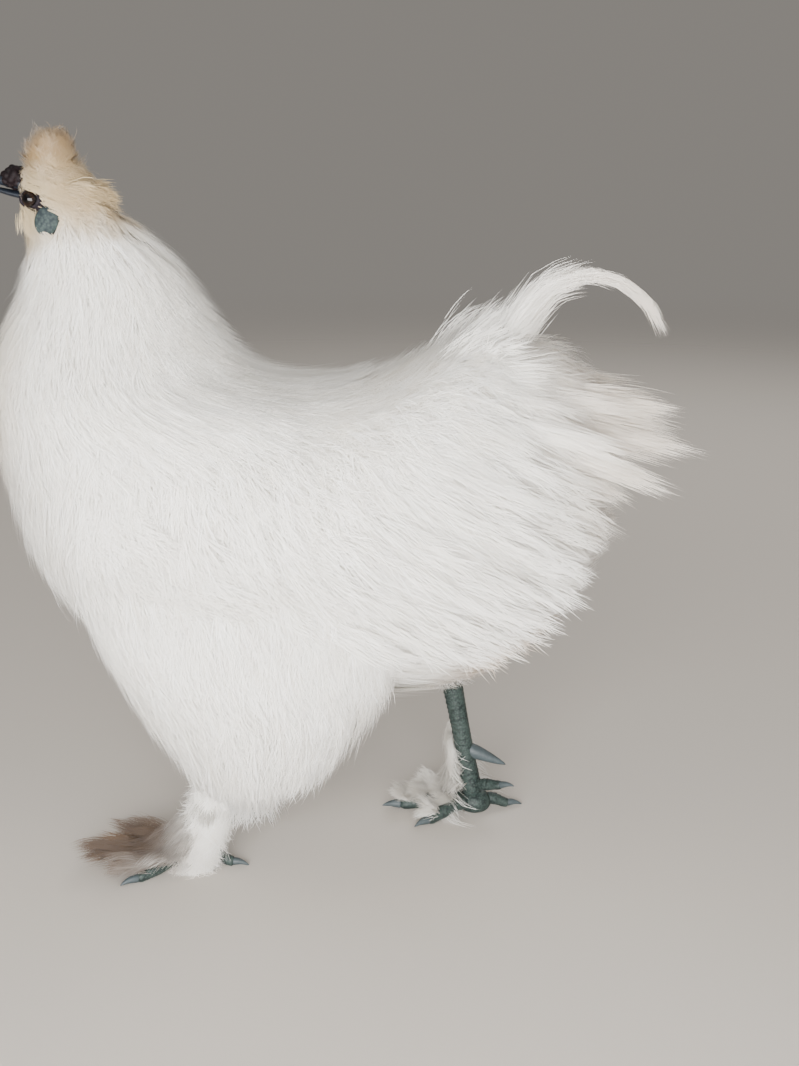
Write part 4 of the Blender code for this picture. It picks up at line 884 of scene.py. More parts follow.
def toe_line(side_name, toe):
    """Points along a toe, arched over its joints, and the radius at its root."""
    heading, climb, length, radius, _ = TOES[toe]
    turn = math.radians(heading)
    ahead = np.array((-math.cos(turn), SIDES[side_name] * math.sin(turn), 0.0))
    hock, foot = shank_line(side_name)
    start = hock + (foot - hock) * FIFTH_TOE_SHARE if climb else foot
    share = np.linspace(0, 1, TOE_STEPS)
    points = start + ahead * length * share[:, None]
    low = start[2] if climb else PAD_HEIGHT + (radius * TOE_TAPER * 0.86 - PAD_HEIGHT) * share
    rise = length * share * math.tan(math.radians(climb))
    arch = 0.0 if climb else np.sin(math.pi * np.minimum(share * 1.15, 1.0)) * TOE_ARCH
    points[:, 2] = low + rise + arch
    return points, radius


# Length of a scale and depth of its step, as a share of the radius, on shank and toes.
SHANK_SCALE = (0.0031, 0.10)
TOE_SCALE = (0.0024, 0.12)
SHANK_LENGTH = 0.085
PAD_RADII = (0.0095, 0.0085, 0.0072)


def scutes(length, size, depth):
    """A radius that steps along a leg or toe as its scales overlap, most on the front and top."""
    def shape(share, theta):
        step = (share * length / size) % 1.0
        front = 0.35 + 0.65 * np.clip(np.sin(theta), 0, 1)
        return 1 + depth * front * (step ** 1.5 - 0.4)

    return shape


def leg_shells(side_name):
    """The scaly flesh of a leg: shank, pad and toes, as closed pieces."""
    hock, foot = shank_line(side_name)
    share = np.linspace(0, 1, 8)[:, None]
    line = hock + (foot - hock) * share * 0.98
    radii = SHANK_RADIUS * np.interp(share[:, 0], [0, 0.2, 0.5, 0.8, 1], [1.12, 1.0, 0.90, 0.94, 1.08])
    scales = scutes(SHANK_LENGTH, *SHANK_SCALE)
    pieces = [tube("shank", line, radii, 120, 24, shape=scales, up=(-1.0, 0.0, 0.0))]
    pieces.append(ellipsoid("pad", foot, PAD_RADII))
    share = np.linspace(0, 1, TOE_STEPS)
    for toe, (_, _, long, _, _) in TOES.items():
        points, radius = toe_line(side_name, toe)
        joints = 2 if long < 0.03 else 3
        swell = 1 + 0.07 * np.cos(share * math.tau * joints)
        radii = radius * np.interp(share, [0, 0.25, 0.7, 1], [1.08, 0.96, 0.90, TOE_TAPER]) * swell
        pieces.append(tube("toe", points, radii, 72, 20, shape=scutes(long, *TOE_SCALE)))
    for piece in pieces:
        points = points_of(piece)
        points[:, 2] = np.maximum(points[:, 2], 0.0)
        set_points(piece, points)
    return pieces


# Where the face's skin is bare: middle and reach, round the eye, the earlobe and the bill's root.
BARE_SKIN = (
    (EYE, (0.0082, 0.0090, 0.0076)), (LOBE, (0.0062, 0.0080, 0.0074)),
    ((BILL_ROOT[0] - 0.004, 0.0, BILL_ROOT[2]), (0.0065, 0.0070, 0.0070)),
)
# The skin's finishes, in the order of its slots.
SKIN_FINISHES = ("underdown", "legs", "face")


def finish_flesh(obj, which):
    """Gives a closed piece of flesh the skin's finishes and its faces one of them, before it is fused."""
    obj.data.materials.clear()
    for name in SKIN_FINISHES:
        obj.data.materials.append(FINISH[name])
    slots = np.full(len(obj.data.polygons), SKIN_FINISHES.index(which), dtype=np.int32)
    obj.data.polygons.foreach_set("material_index", slots)
    smooth(obj)
    return obj


def skin():
    """One skin from crown to toes, under the down."""
    made = finish_flesh(body_shells(), "underdown")
    group = bpy.data.collections.new("flesh")
    bpy.context.scene.collection.children.link(group)
    others = [finish_flesh(head_shells(), "underdown")]
    for side_name in SIDES:
        others += [finish_flesh(piece, "legs") for piece in leg_shells(side_name)]
    for piece in others:
        for old in list(piece.users_collection):
            old.objects.unlink(piece)
        group.objects.link(piece)
    apply_modifier(made, "BOOLEAN", operation="UNION", operand_type="COLLECTION", collection=group,
                   solver="MANIFOLD")
    for piece in others:
        bpy.data.objects.remove(piece)
    bpy.data.collections.remove(group)
    centres = np.array([face.center for face in made.data.polygons])
    bare = np.zeros(len(centres), bool)
    for place, reach in BARE_SKIN:
        bare |= ~away(centres, place, reach)
    slots = np.array([face.material_index for face in made.data.polygons])
    slots = np.where(bare, SKIN_FINISHES.index("face"), slots)
    made.data.polygons.foreach_set("material_index", slots.astype(np.int32))
    settle(made, "skin")
    paired = [name + side_name for name in ("wing_", "thigh_", "foot_") for side_name in SIDES]
    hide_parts("torso", "neck", "head", "tail", *paired)


def outside(points, cut):
    """How far points are on the outer side of a cut."""
    normal = np.array(Vector(cut[1]).normalized())
    return (points - np.array(cut[0])) @ normal


# How much narrower the folded wing is at its tip, and the middle of its rows.
WING_NARROWS = 0.45
MID_ROW = 0.5


def wing_place(side, row, column):
    """Station and angle of a place on the folded wing. Row 0 is its upper edge, column 0 its shoulder."""
    u = WING_FROM[0] + (WING_TO[0] - WING_FROM[0]) * column
    theta = WING_FROM[1] + (WING_TO[1] - WING_FROM[1]) * column
    theta = theta + WING_SPREAD * (row - MID_ROW) * (1 - WING_NARROWS * column)
    return u, side * np.radians(theta)


def wing_row(share, column):
    """The row at a share across the wing's oval outline."""
    return MID_ROW + (share - 0.5) * np.sqrt(np.maximum(1 - (2 * column - 1) ** 2, 0.09))


# The columns between which the wing hides the body's down, and the share of its outline that does so.
HIDDEN_COLUMNS = (0.24, 0.90)
HIDDEN_SHARE = 0.80


def under_wing(u, theta):
    """Whether places on the body are well inside the wing's outline."""
    column = (u - WING_FROM[0]) / (WING_TO[0] - WING_FROM[0])
    turned = np.degrees(np.abs(theta))
    middle = WING_FROM[1] + (WING_TO[1] - WING_FROM[1]) * column
    row = MID_ROW + (turned - middle) / (WING_SPREAD * (1 - WING_NARROWS * column))
    edge = np.abs(wing_row(0.0, column) - MID_ROW) * HIDDEN_SHARE
    first, last = HIDDEN_COLUMNS
    return (column > first) & (column < last) & (np.abs(row - MID_ROW) < edge)


class Coat:
    """How far places stand off the coat's outer surface, and which way is out, with its creases smoothed."""

    # Side of a cell of the grid, rounds of smoothing, and how far the grid reaches past the coat.
    CELL = 0.005
    ROUNDS = 8
    MARGIN = 0.030

    def __init__(self):
        pieces = [shell("coat", Form(TORSO), 40, 48, 0.06), shell("coat", Form(NECK), 24, 36, 0.08)]
        pieces += [shell("coat", Form(RUMP), 16, 24, 0.05), shell("coat", Form(HEAD), 20, 28, 0.10)]
        pieces += [shell("coat", Form(stations), 20, 28, 0.08) for stations in THIGHS.values()]
        made = joined(pieces)
        apply_modifier(made, "REMESH", mode="VOXEL", voxel_size=COAT_VOXEL)
        corners = points_of(made)
        tree = BVHTree.FromPolygons(corners.tolist(), [tuple(face.vertices) for face in made.data.polygons])
        bpy.data.objects.remove(made)
        self.low = corners.min(axis=0) - self.MARGIN
        counts = np.ceil((corners.max(axis=0) + self.MARGIN - self.low) / self.CELL).astype(int) + 1
        places = np.stack(np.meshgrid(*[np.arange(n) for n in counts], indexing="ij"), axis=-1)
        places = (places * self.CELL + self.low).reshape(-1, 3)
        field = np.empty(len(places))
        for k, place in enumerate(places):
            spot = Vector(place)
            near, normal, _, far = tree.find_nearest(spot)
            field[k] = far if (spot - near).dot(normal) >= 0 else -far
        field = field.reshape(counts)
        for _ in range(self.ROUNDS):
            for axis in range(3):
                padded = np.pad(field, [(1, 1) if n == axis else (0, 0) for n in range(3)], mode="edge")
                before = np.take(padded, range(counts[axis]), axis)
                after = np.take(padded, range(2, counts[axis] + 2), axis)
                field = (before + 2 * field + after) / 4
        self.grid = np.stack([field, *np.gradient(field, self.CELL)], axis=-1)

    def read(self, points):
        """Each point's distance outside the surface, and the outward direction there."""
        at = (points - self.low) / self.CELL
        first = np.clip(np.floor(at).astype(int), 0, np.array(self.grid.shape[:3]) - 2)
        part = np.clip(at - first, 0, 1)
        found = 0.0
        for corner in np.ndindex(2, 2, 2):
            weight = np.prod(np.where(corner, part, 1 - part), axis=-1)
            x, y, z = np.moveaxis(first + np.array(corner), -1, 0)
            found = found + self.grid[x, y, z] * weight[..., None]
        return found[..., 0], unit(found[..., 1:])


def ramp(value, low, high):
    """A smooth rise from 0 at low to 1 at high."""
    t = np.clip((value - low) / (high - low), 0, 1)
    return t * t * (3 - 2 * t)


# The stern's outline behind, as x and z, which its locks pass by a few millimetres.
STERN = np.array([
    (0.040, 0.094), (0.050, 0.106), (0.070, 0.118), (0.092, 0.150), (0.100, 0.178), (0.104, 0.210),
])
# Locks of the stern on each side, barbs in each, their least length, and how low they hang at the middle.
STERN_LOCKS = 460
STERN_BARBS = 20
STERN_LEAST = 0.010
STERN_LOW = 0.092
# How far the body's down reaches under the neck's, and the depth in the thighs at which it stops.
NECK_OVERLAP = 0.012
THIGH_DEPTH = 0.014


def stern_lock(form, side):
    """One lock of the stern, or none where it would be too short or hang too low."""
    at_u, turn = DRAW.uniform(4.8, 9.6), DRAW.uniform(0.7, 3.1)
    at = np.array([at_u]), np.array([side * turn])
    outward = form.normal(*at)[0]
    root = form.on(*at)[0] - outward * 0.007
    ahead = unit(np.array((0.84, 0.06 * side, -0.40)) + outward * 0.10 + DRAW.normal(0, 0.07, 3))
    length = DRAW.uniform(0.026, 0.050)
    tip = root + ahead * length
    past = tip[0] - np.interp(tip[2], STERN[:, 1], STERN[:, 0]) - DRAW.uniform(-0.008, 0.006)
    length -= max(past, 0.0) / ahead[0]
    if length < STERN_LEAST or root[2] + ahead[2] * length < STERN_LOW + 0.5 * abs(root[1]):
        return None
    tip = root + ahead * length
    bend = root + (tip - root) * 0.5 + outward * 0.004 + (0.0, 0.0, 0.002)
    face = unit(outward + np.array((0.0, side * 0.5, 0.3)) + DRAW.normal(0, 0.04, 3))
    spot = chart_spot(form, at_u, side * turn, WHOLE)
    point, loose = (0.12, 0.0010) if DRAW.random() < 0.22 else (0.75, 0.0022)
    width = DRAW.uniform(0.005, 0.009)
    return lock(curve(root, bend, tip), face, width, STERN_BARBS, spot, loose, 0.00034, point)


def body_down(coat):
    """The down of breast, back, flanks and stern. It drapes down the flanks and stands off in locks behind."""
    form = Form(TORSO)

    def wanted(u, theta, points):
        ahead = points[:, 0] < NECK_CUT[0][0] + NECK_BACK - NECK_OVERLAP
        kept = ~((outside(points, NECK_CUT) > NECK_OVERLAP) & ahead)
        for stations in THIGHS.values():
            kept &= ~Form(stations, -THIGH_DEPTH).holds(points)
        return kept & ~under_wing(u + 0.5, theta)

    u, theta = spread_roots(form, 10500, 0.3, 10.0, wanted)
    stern = ramp(u, 6.2, 9.6) * ramp(np.abs(theta), 0.7, 1.5)
    drift = 0.30 * np.sin(np.abs(theta)) * np.sign(theta)
    reach = 1.05 * (1 - 0.45 * stern)
    ragged = -0.001 + 0.003 * (u / form.last) ** 3
    pull = np.zeros((len(u), 3))
    pull[:, 0] = 0.009 * stern
    pull[:, 2] = 0.003 * stern
    groups = [grow(form, (u, theta), reach, drift, (-0.010, ragged), 9, 0.009, 0.00048, WHOLE, pull,
                   loose=0.0013, coat=coat)]
    for side in SIDES.values():
        found = [stern_lock(form, side) for _ in range(STERN_LOCKS)]
        groups += [group for group in found if group is not None]
    lay_down("down_body", groups)


def hackle_down(coat):
    """The hackle: fine plumes that fall from the head over the shoulders."""
    form = Form(NECK)
    roots = spread_roots(form, 5200, -0.1, 4.7)
    full = 0.0050 * ramp(np.cos(roots[1]), 0.1, 0.9)
    full = full * ramp(roots[0], -0.1, 0.8) * (1 - ramp(roots[0], 1.6, 3.4))
    group = grow(form, roots, 1.25, 0.0, (-0.008, full), 9, 0.008, 0.00045, WHOLE, loose=0.0010, coat=coat)
    lay_down("down_neck", [kept_clear(group)])


# How deep under the coat's surface a plume over the thigh may be rooted.
DEEPEST_ROOT = 0.022
# Thighs: plumes, how far each falls, how far its tip hangs, and plumes that fall over the top from the flank.
THIGH_PLUMES = {"left": (2400, 1.25, -0.003, 950), "right": (1200, 1.0, 0.002, 500)}


def over_thigh(form, side_name, count, coat):
    """Plumes that fall from the flank over the thigh's top, so that no edge shows between them."""
    u = DRAW.uniform(-1.1, 0.55, count) * form.last / 5
    theta = SIDES[side_name] * (math.pi / 2 + DRAW.uniform(-1.25, 1.25, count))
    above, _ = coat.read(form.on(u, theta))
    kept = above > -DEEPEST_ROOT
    return grow(form, (u[kept], theta[kept]), 1.35 * form.last / 5, 0.0, (-0.006, 0.0006), 10, 0.009, 0.00045,
                WHOLE, (0.004, 0.0, 0.0), loose=0.0012, coat=coat)


def thigh_down(coat):
    """The fluff of the thighs, which hangs over the hocks."""
    for side_name, stations in THIGHS.items():
        form = Form(stations)
        count, fall, hang, over = THIGH_PLUMES[side_name]
        roots = spread_roots(form, count, -0.1, 4.9 * form.last / 5)
        top = 1 - ramp(roots[0], 0.0, 1.6 * form.last / 5)
        back = 0.35 * top * np.sin(roots[1])
        group = grow(form, roots, fall * form.last / 5, -back, (-0.008, 0.0005 - 0.004 * top), 10, 0.008,
                     0.00045, WHOLE, (0.002, 0.0, hang), loose=0.0013, coat=coat)
        lay_down("down_thigh_" + side_name, [group, over_thigh(form, side_name, over, coat)])


# Tiers of wing feathers: how many, first and last share along the wing, width, lifts of root and tip, barbs.
WING_TIERS = (
    (8, 0.30, 0.99, 0.015, -0.0050, -0.0020, 150),
    (8, 0.10, 0.68, 0.017, -0.0045, 0.0008, 130),
    (9, 0.00, 0.40, 0.017, -0.0045, 0.0026, 120),
)
WING_PLUMES = 850


def wings():
    """The folded wings: tiers of soft feathers over the down."""
    form = Form(TORSO)
    for side_name, side in SIDES.items():
        groups = []
        column = DRAW.uniform(0.10, 0.80, WING_PLUMES)
        row = wing_row(DRAW.uniform(0.03, 0.97, WING_PLUMES), column)
        roots = wing_place(side, row, column)
        slope = side * math.radians(WING_TO[1] - WING_FROM[1]) / (WING_TO[0] - WING_FROM[0])
        groups.append(grow(form, roots, 0.85, slope * 0.85, (-0.009, -0.0030), 10, 0.007, 0.00040, WHOLE,
                           loose=0.0010))
        for count, first, last, width, low, high, barbs in WING_TIERS:
            for k in range(count):
                share = (k + 0.5) / count
                s = np.linspace(0, 1, 12)
                column = first + (last - 0.10 * share - 0.03 * DRAW.random() - first) * s
                row = wing_row(0.10 + 0.80 * share, column)
                at_u, at_theta = wing_place(side, row, column)
                face = form.normal(at_u, at_theta)
                lift = low - 0.005 * (1 - s) ** 3 + (high - low) * s
                line = form.on(at_u, at_theta) + face * lift[:, None]
                root = chart_spot(form, at_u[0], at_theta[0], WHOLE)
                groups.append(feather(line, face, width * DRAW.uniform(0.9, 1.1), barbs, root))
        lay_down("feathers_wing_" + side_name, groups)


# Locks for each feather of the fan and the cushion, and the thickness of their barbs.
FAN_LOCKS = 13
CUSHION_LOCKS = 10
TAIL_BARB = 0.00034
# The sickle's locks: the share of its line at which they end, and how many do. Those that end early are soft.
SICKLE_LOCKS = ((1.0, 11), (0.86, 9), (0.72, 13), (0.58, 30), (0.44, 40))
SICKLE_SOFT = 0.65
SICKLE_REACH = 0.42
SICKLE_STEPS = 14


def fan_lock(side, x, z, spread, width, arch):
    """One lock of a drooping feather of the fan."""
    tip = np.array((x - 0.006, side * spread, z)) + DRAW.normal(0, 1, 3) * (0.005, 0.005, 0.004)
    start = np.array((DRAW.uniform(0.022, 0.046), side * (0.014 + 0.35 * spread), 0.222 + (z - 0.17) * 0.40))
    bend = start + (tip - start) * 0.5 + (0.0, side * (0.008 + spread * 0.25), arch * 0.5)
    face = unit(np.array((0.0, side, 0.45)) + DRAW.normal(0, 0.06, 3))
    point = DRAW.choice([0.10, 0.35])
    spot = (0.6, 0.5 + side * 0.2)
    return lock(curve(start, bend, tip), face, width * 0.42, 40, spot, 0.0013, TAIL_BARB, point)


def cushion_lock(side, x, z, spread):
    """One lock of a covert of the cushion."""
    tip = np.array((x, side * spread, z)) + DRAW.normal(0, 1, 3) * (0.006, 0.006, 0.004)
    start = np.array(TAIL_ROOT) + (
        DRAW.uniform(-0.050, -0.022), side * (0.006 + spread * 0.4), DRAW.uniform(0.000, 0.012))
    bend = start + (tip - start) * 0.55 + (-0.004, side * spread * 0.20, 0.004)
    face = unit(np.array((-0.3, side * 0.9, 0.5)) + DRAW.normal(0, 0.25, 3))
    spot = (0.4, 0.5 + side * 0.2)
    return lock(curve(start, bend, tip), face, 0.010, 44, spot, 0.0026, TAIL_BARB, 0.8)


def sickle_lock(line, across, widths, end):
    """One lock along the sickle's line, which ends at a share of it."""
    soft = end < SICKLE_SOFT
    high, deep = np.clip(DRAW.normal(0, 0.5, 2), -0.95, 0.95)
    share = np.linspace(end - SICKLE_REACH, end, SICKLE_STEPS) + DRAW.normal(0, 0.02)
    share = np.maximum(share, 0.0)
    half, thick = along(widths, share).T
    rise = np.linspace(0.35, 1.0, SICKLE_STEPS) if high > 0 else 1.0
    arc = along(line, share) + along(across, share) * (half * high * rise)[:, None]
    if soft:
        arc[:, 2] -= 0.006 * np.linspace(1, 0, SICKLE_STEPS) ** 2
    arc[:, 1] += thick * deep - 0.004 * share
    face = unit(np.array((0.15 * high, -1.0 if deep < 0.1 else 1.0, 0.25)) + DRAW.normal(0, 0.10, 3))
    wide, loose, point = (0.0070, 0.0022, 1.1) if soft else (0.0034, 0.0012, 0.5)
    return lock(arc, face, wide, 22, (0.4, 0.5), loose, 0.00026, point)


def tail(coat):
    """The tail: rump fluff, a drooping fan on each side, a cushion of coverts, and the sickle."""
    rump = Form(RUMP)
    roots = spread_roots(rump, 1300, -0.3, 4.3)
    groups = [grow(rump, roots, 1.3, 0.0, (-0.008, -0.001), 10, 0.010, 0.00040, WHOLE, loose=0.0028,
                   coat=coat)]
    for side in SIDES.values():
        for fan in TAIL_FAN:
            groups += [fan_lock(side, *fan) for _ in range(FAN_LOCKS)]
        for covert in CUSHION:
            groups += [cushion_lock(side, *covert) for _ in range(CUSHION_LOCKS)]
    line = np.array([(x, 0.0, z) for x, z in SICKLE])
    widths = np.array([SICKLE_HALF, SICKLE_DEEP]).T
    ahead = unit(np.gradient(line, axis=0))
    across = np.stack([-ahead[:, 2], ahead[:, 1], ahead[:, 0]], axis=1)
    for end, many in SICKLE_LOCKS:
        groups += [sickle_lock(line, across, widths, end) for _ in range(many)]
    lay_down("feathers_tail", groups)


def away(points, place, reach):
    """Whether points are further from a place than that, on either side of the head."""
    there = np.array(place)
    here = points.copy()
    here[:, 1] = np.abs(here[:, 1])
    return np.linalg.norm((here - there) / reach, axis=1) > 1


# Round eye, earlobe, comb and bill, by middle and reach: where no barb crosses, and where no down is rooted.
CLEAR = (
    (EYE, (0.0036, 0.009, 0.0044)), (LOBE_SEEN, (0.0038, 0.009, 0.0052)), (COMB, (0.0056, 0.008, 0.0050)),
    ((BILL_ROOT[0] - 0.010, 0.0, BILL_ROOT[2] + 0.003), (0.0060, 0.0056, 0.0044)),
)
ROOTLESS = (
    (EYE, (0.0040, 0.008, 0.0048)), (LOBE_SEEN, (0.0038, 0.008, 0.0052)), (COMB, (0.0056, 0.008, 0.0050)),
    ((BILL_ROOT[0] - 0.005, 0.0, BILL_ROOT[2]), (0.0050, 0.0056, 0.0056)),
)


def kept_clear(group):
    """A group without the barbs that would cross the eye, earlobe, comb or bill."""
    path = group["path"]
    kept = np.ones(len(path), bool)
    for place, reach in CLEAR:
        kept &= away(path.reshape(-1, 3), place, reach).reshape(path.shape[:2]).all(axis=1)
    return {key: value[kept] for key, value in group.items()}


# The head's unwrap: the half that face and throat have, and the corner that the crest has.
FACE_CHART = (0.02, 0.02, 0.46, 0.94)
CREST_CHART = (0.52, 0.02, 0.46, 0.46)
CREST_MIDDLE = (-0.1675, 0.0, 0.0)
BEARD_LOCKS = 40
# The puff on the nape: locks, its half width, its lowest and highest roots, and how far back its tips reach.
PUFF_LOCKS = 250
PUFF_HALF = 0.019
PUFF_LOW = 0.324
PUFF_TOP = 0.3480
PUFF_BACK = -0.1375


def beard_lock(side):
    """One lock of the small beard under the bill."""
    start = np.array((-0.1764, side * 0.0080, 0.3375)) + DRAW.normal(0, 1, 3) * (0.0020, 0.0012, 0.0012)
    tip = start + (0.0012, side * 0.0020, -0.0130) + DRAW.normal(0, 0.0009, 3)
    bend = start + (tip - start) * 0.5 + (-0.0008, side * 0.0024, 0.0)
    return lock(curve(start, bend, tip, 8), (-0.4, side, 0.0), 0.0045, 26, (0.06, 0.5), 0.0010, 0.00026, 0.9)


def puff_lock(backs):
    """One lock of the puff on the nape, from the back of the head at its height."""
    y, height = DRAW.uniform(-PUFF_HALF, PUFF_HALF), DRAW.uniform(PUFF_LOW, PUFF_TOP)
    root_x = np.interp(height, backs[:, 0], backs[:, 1]) - 0.008 - 0.25 * abs(y)
    start = np.array((root_x, y * 0.85, height))
    tip_x = PUFF_BACK - 0.35 * abs(y) + DRAW.normal(0, 0.0020)
    tip = np.array((tip_x, y * 1.30, height - 0.0030 + DRAW.normal(0, 0.0018)))
    bend = start + (tip - start) * 0.5 + (0.0, 0.0, 0.0030)
    face = unit(np.array((0.10, math.copysign(0.9, y), 0.40)) + DRAW.normal(0, 0.10, 3))
    across, up = (y + PUFF_HALF) / (2 * PUFF_HALF), (height - PUFF_LOW) / (PUFF_TOP - PUFF_LOW)
    spot = (0.60 + 0.30 * across, 0.52 + 0.40 * up)
    return lock(curve(start, bend, tip, 8), face, 0.0060, 30, spot, 0.0016, 0.00028, 0.95, 0.8)


def head_down():
    """Short down of face and throat, the beard, the crest and the puff on the nape."""
    form = Form(HEAD)

    def covered(u, theta, points):
        kept = np.ones(len(points), bool)
        for place, reach in ROOTLESS:
            kept &= away(points, place, reach)
        return kept

    u, theta = spread_roots(form, 1900, -0.2, 4.6, covered)
    back = -np.sign(theta) * np.clip(np.abs(theta) / 2.2, 0.15, 1.0) * 0.62
    short = np.where(np.abs(theta) > 1.9, 0.80, 1.0)
    beard = ramp(np.abs(theta), 2.0, 2.6) * (1 - ramp(u, 1.6, 2.6))
    tips = 0.0022 * short - 0.0008 * beard
    groups = [grow(form, (u, theta), -0.95 * short, back * (1 - 0.7 * beard), (-0.0012, tips), 9, 0.0045,
                   0.00028, FACE_CHART, loose=0.0006)]
    tuft = Form(CREST, -0.0012)
    u, theta = spread_roots(tuft, 1350, -0.9, 3.4)
    reach = np.clip(3.7 - u, 0.22, 0.85) * DRAW.uniform(0.75, 1.15, len(u))
    inward = (np.array(CREST_MIDDLE) - tuft.on(u, theta)) * (0.06, 0.06, 0.0) * ramp(u, 0.4, 2.4)[:, None]
    turn = DRAW.normal(0, 0.24, len(u))
    groups.append(grow(tuft, (u, theta), reach, turn, (-0.005, -0.0004), 10, 0.0055, 0.00027, CREST_CHART,
                       inward, loose=0.0014))
    for side in SIDES.values():
        groups += [beard_lock(side) for _ in range(BEARD_LOCKS)]
    backs = np.array([(z, x) for _, (x, z), _, _ in HEAD])
    groups += [puff_lock(backs) for _ in range(PUFF_LOCKS)]
    lay_down("down_head", [kept_clear(group) for group in groups])


# Foot feathers: share down the shank, or the toe and the share along it, heading, length.
SHANK_FEATHERS = (
    (0.52, 76, 0.022), (0.64, 34, 0.028), (0.70, 4, 0.036), (0.80, 40, 0.032), (0.84, 12, 0.038),
)
TOE_FEATHERS = (
    ("3", 0.30, 18, 0.034), ("3", 0.55, 4, 0.036), ("3", 0.80, 8, 0.032), ("4", 0.15, 64, 0.022),
    ("4", 0.42, 36, 0.028), ("4", 0.72, 16, 0.030), ("2", 0.40, -12, 0.034), ("2", 0.75, -12, 0.030),
)


# Feet: plumes on the shank, their first station, the middle and spread of their angles, how far their tips
# stand off at the top and how much more at the foot, the size of the foot's feathers, and locks in each.
FOOT_COATS = {
    "left": (620, 0.0, 1.75, 0.75, 0.0090, 0.0, 1.0, 10),
    "right": (560, 0.7, 2.60, 0.34, 0.0050, 0.015, 0.50, 14),
}
# How steeply the feathers of shank and toes fall, and the least heights of their roots, lines and barbs.
SHANK_FALL = -0.50
TOE_FALL = -0.10
LEAST_ROOT = 0.0045
LEAST_LINE = 0.0012
LEAST_BARB = 0.0006


def foot_down(side_name):
    """The fluff down the outer side of the shank, and the feathers of shank and outer toes."""
    hock, foot = shank_line(side_name)
    outward = SIDES[side_name]
    stations = []
    for share in (0.25, 0.50, 0.75, 1.0):
        x, y, z = hock + (foot - hock) * share
        stations.append(((x - SHANK_RADIUS, z), (x + SHANK_RADIUS, z), y, SHANK_RADIUS))
    form = Form(stations)
    count, first, middle, wide, high, flare, size, locks = FOOT_COATS[side_name]
    u = DRAW.uniform(first, 2.8, count)
    theta = outward * DRAW.normal(middle, wide, count)
    high = high + flare * ramp(u, 0.9, 2.8)
    groups = [grow(form, (u, theta), 0.85, 0.0, (-0.0005, high), 11, 0.007, 0.00032, WHOLE, loose=0.0014)]
    roots = []
    for share, heading, length in SHANK_FEATHERS:
        roots.append((hock + (foot - hock) * share, heading, length, SHANK_FALL))
    for toe, share, heading, length in TOE_FEATHERS:
        roots.append((along(toe_line(side_name, toe)[0], np.array(share)), heading, length, TOE_FALL))
    for root, heading, length, fall in roots:
        for _ in range(locks):
            turn = math.radians(heading + DRAW.normal(0, 11))
            out = np.array((-math.cos(turn), outward * math.sin(turn), 0.0))
            start = root + DRAW.normal(0, 0.0012, 3)
            start[2] = max(start[2], LEAST_ROOT)
            tip = start + out * length * size * DRAW.uniform(0.80, 1.12)
            tip[2] = max(start[2] + length * fall, DRAW.uniform(0.0020, 0.0160))
            bend = start + (tip - start) * 0.45 + (0.0, 0.0, DRAW.uniform(0.003, 0.012) * size)
            line = curve(start, bend, tip)
            line[:, 2] = np.maximum(line[:, 2], LEAST_LINE)
            face = unit(np.cross(np.cross(out, (0, 0, 1)), out) + DRAW.normal(0, 0.15, 3))
            groups.append(lock(line, face, 0.011 * size ** 0.5, 50, (0.7, 0.5), 0.0016, 0.00030, 0.45, 0.45))
    for group in groups:
        group["path"][..., 2] = np.maximum(group["path"][..., 2], LEAST_BARB)
    lay_down("feathers_foot_" + side_name, groups)


# The comb's bulbs, which are set by the golden angle, and how far out their middles and its core reach.
COMB_BULBS = 26
GOLDEN_ANGLE = 2.39996
BULBS_OUT = 0.74
COMB_CORE = 0.80


def comb():
    """The walnut comb: a low cushion of round bulbs on the forehead."""
    pieces = [ellipsoid("bulb", (0, 0, 0), np.array(COMB_RADII) * COMB_CORE)]
    for k in range(COMB_BULBS):
        high = 1 - 2 * (k + 0.5) / COMB_BULBS
        turn = k * GOLDEN_ANGLE
        wide = math.sqrt(1 - high * high)
        spot = np.array((wide * math.cos(turn), wide * math.sin(turn), high)) * COMB_RADII * BULBS_OUT
        size = DRAW.uniform(0.0018, 0.0026)
        pieces.append(ellipsoid("bulb", spot, (size, size, size * 1.05), rows=12, sides=16))
    made = joined(pieces)
    apply_modifier(made, "REMESH", mode="VOXEL", voxel_size=COMB_VOXEL)
    apply_modifier(made, "SMOOTH", factor=0.5, iterations=3)
    made.data.transform(Matrix.Translation(COMB) @ Matrix.Rotation(COMB_TURN, 4, "Y"))
    smooth(made)
    settle(made, "comb_walnut", FINISH["comb"])
    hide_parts("comb")


# Halves of the bill: height of the middle line, and rings as share of the length, droop, half height and
# half width.
BILL_HALVES = {
    "beak_upper": (0.0019, (
        (-0.08, 0.0, 0.0034, 0.0051), (0.0, 0.0, 0.0034, 0.0050), (0.3, 0.0, 0.0030, 0.0043),
        (0.6, -0.0005, 0.0022, 0.0032), (0.85, -0.0014, 0.0015, 0.0020), (1.0, -0.0027, 0.0008, 0.0010),
    )),
    "beak_lower": (-0.0036, (
        (-0.08, 0.0, 0.0018, 0.0046), (0.0, 0.0, 0.0018, 0.0045), (0.3, 0.0, 0.0016, 0.0038),
        (0.6, 0.0003, 0.0012, 0.0028), (0.84, 0.0006, 0.0008, 0.0013),
    )),
}
BILL_CAP = 0.06
# Nostrils: share of the bill's length, place aside and above, radii and tilt.
NOSTRIL_SHARE = 0.40
NOSTRIL_PLACE = (0.0036, 0.0034)
NOSTRIL_RADII = (0.0016, 0.0012, 0.0006)
NOSTRIL_TILT = math.radians(15)


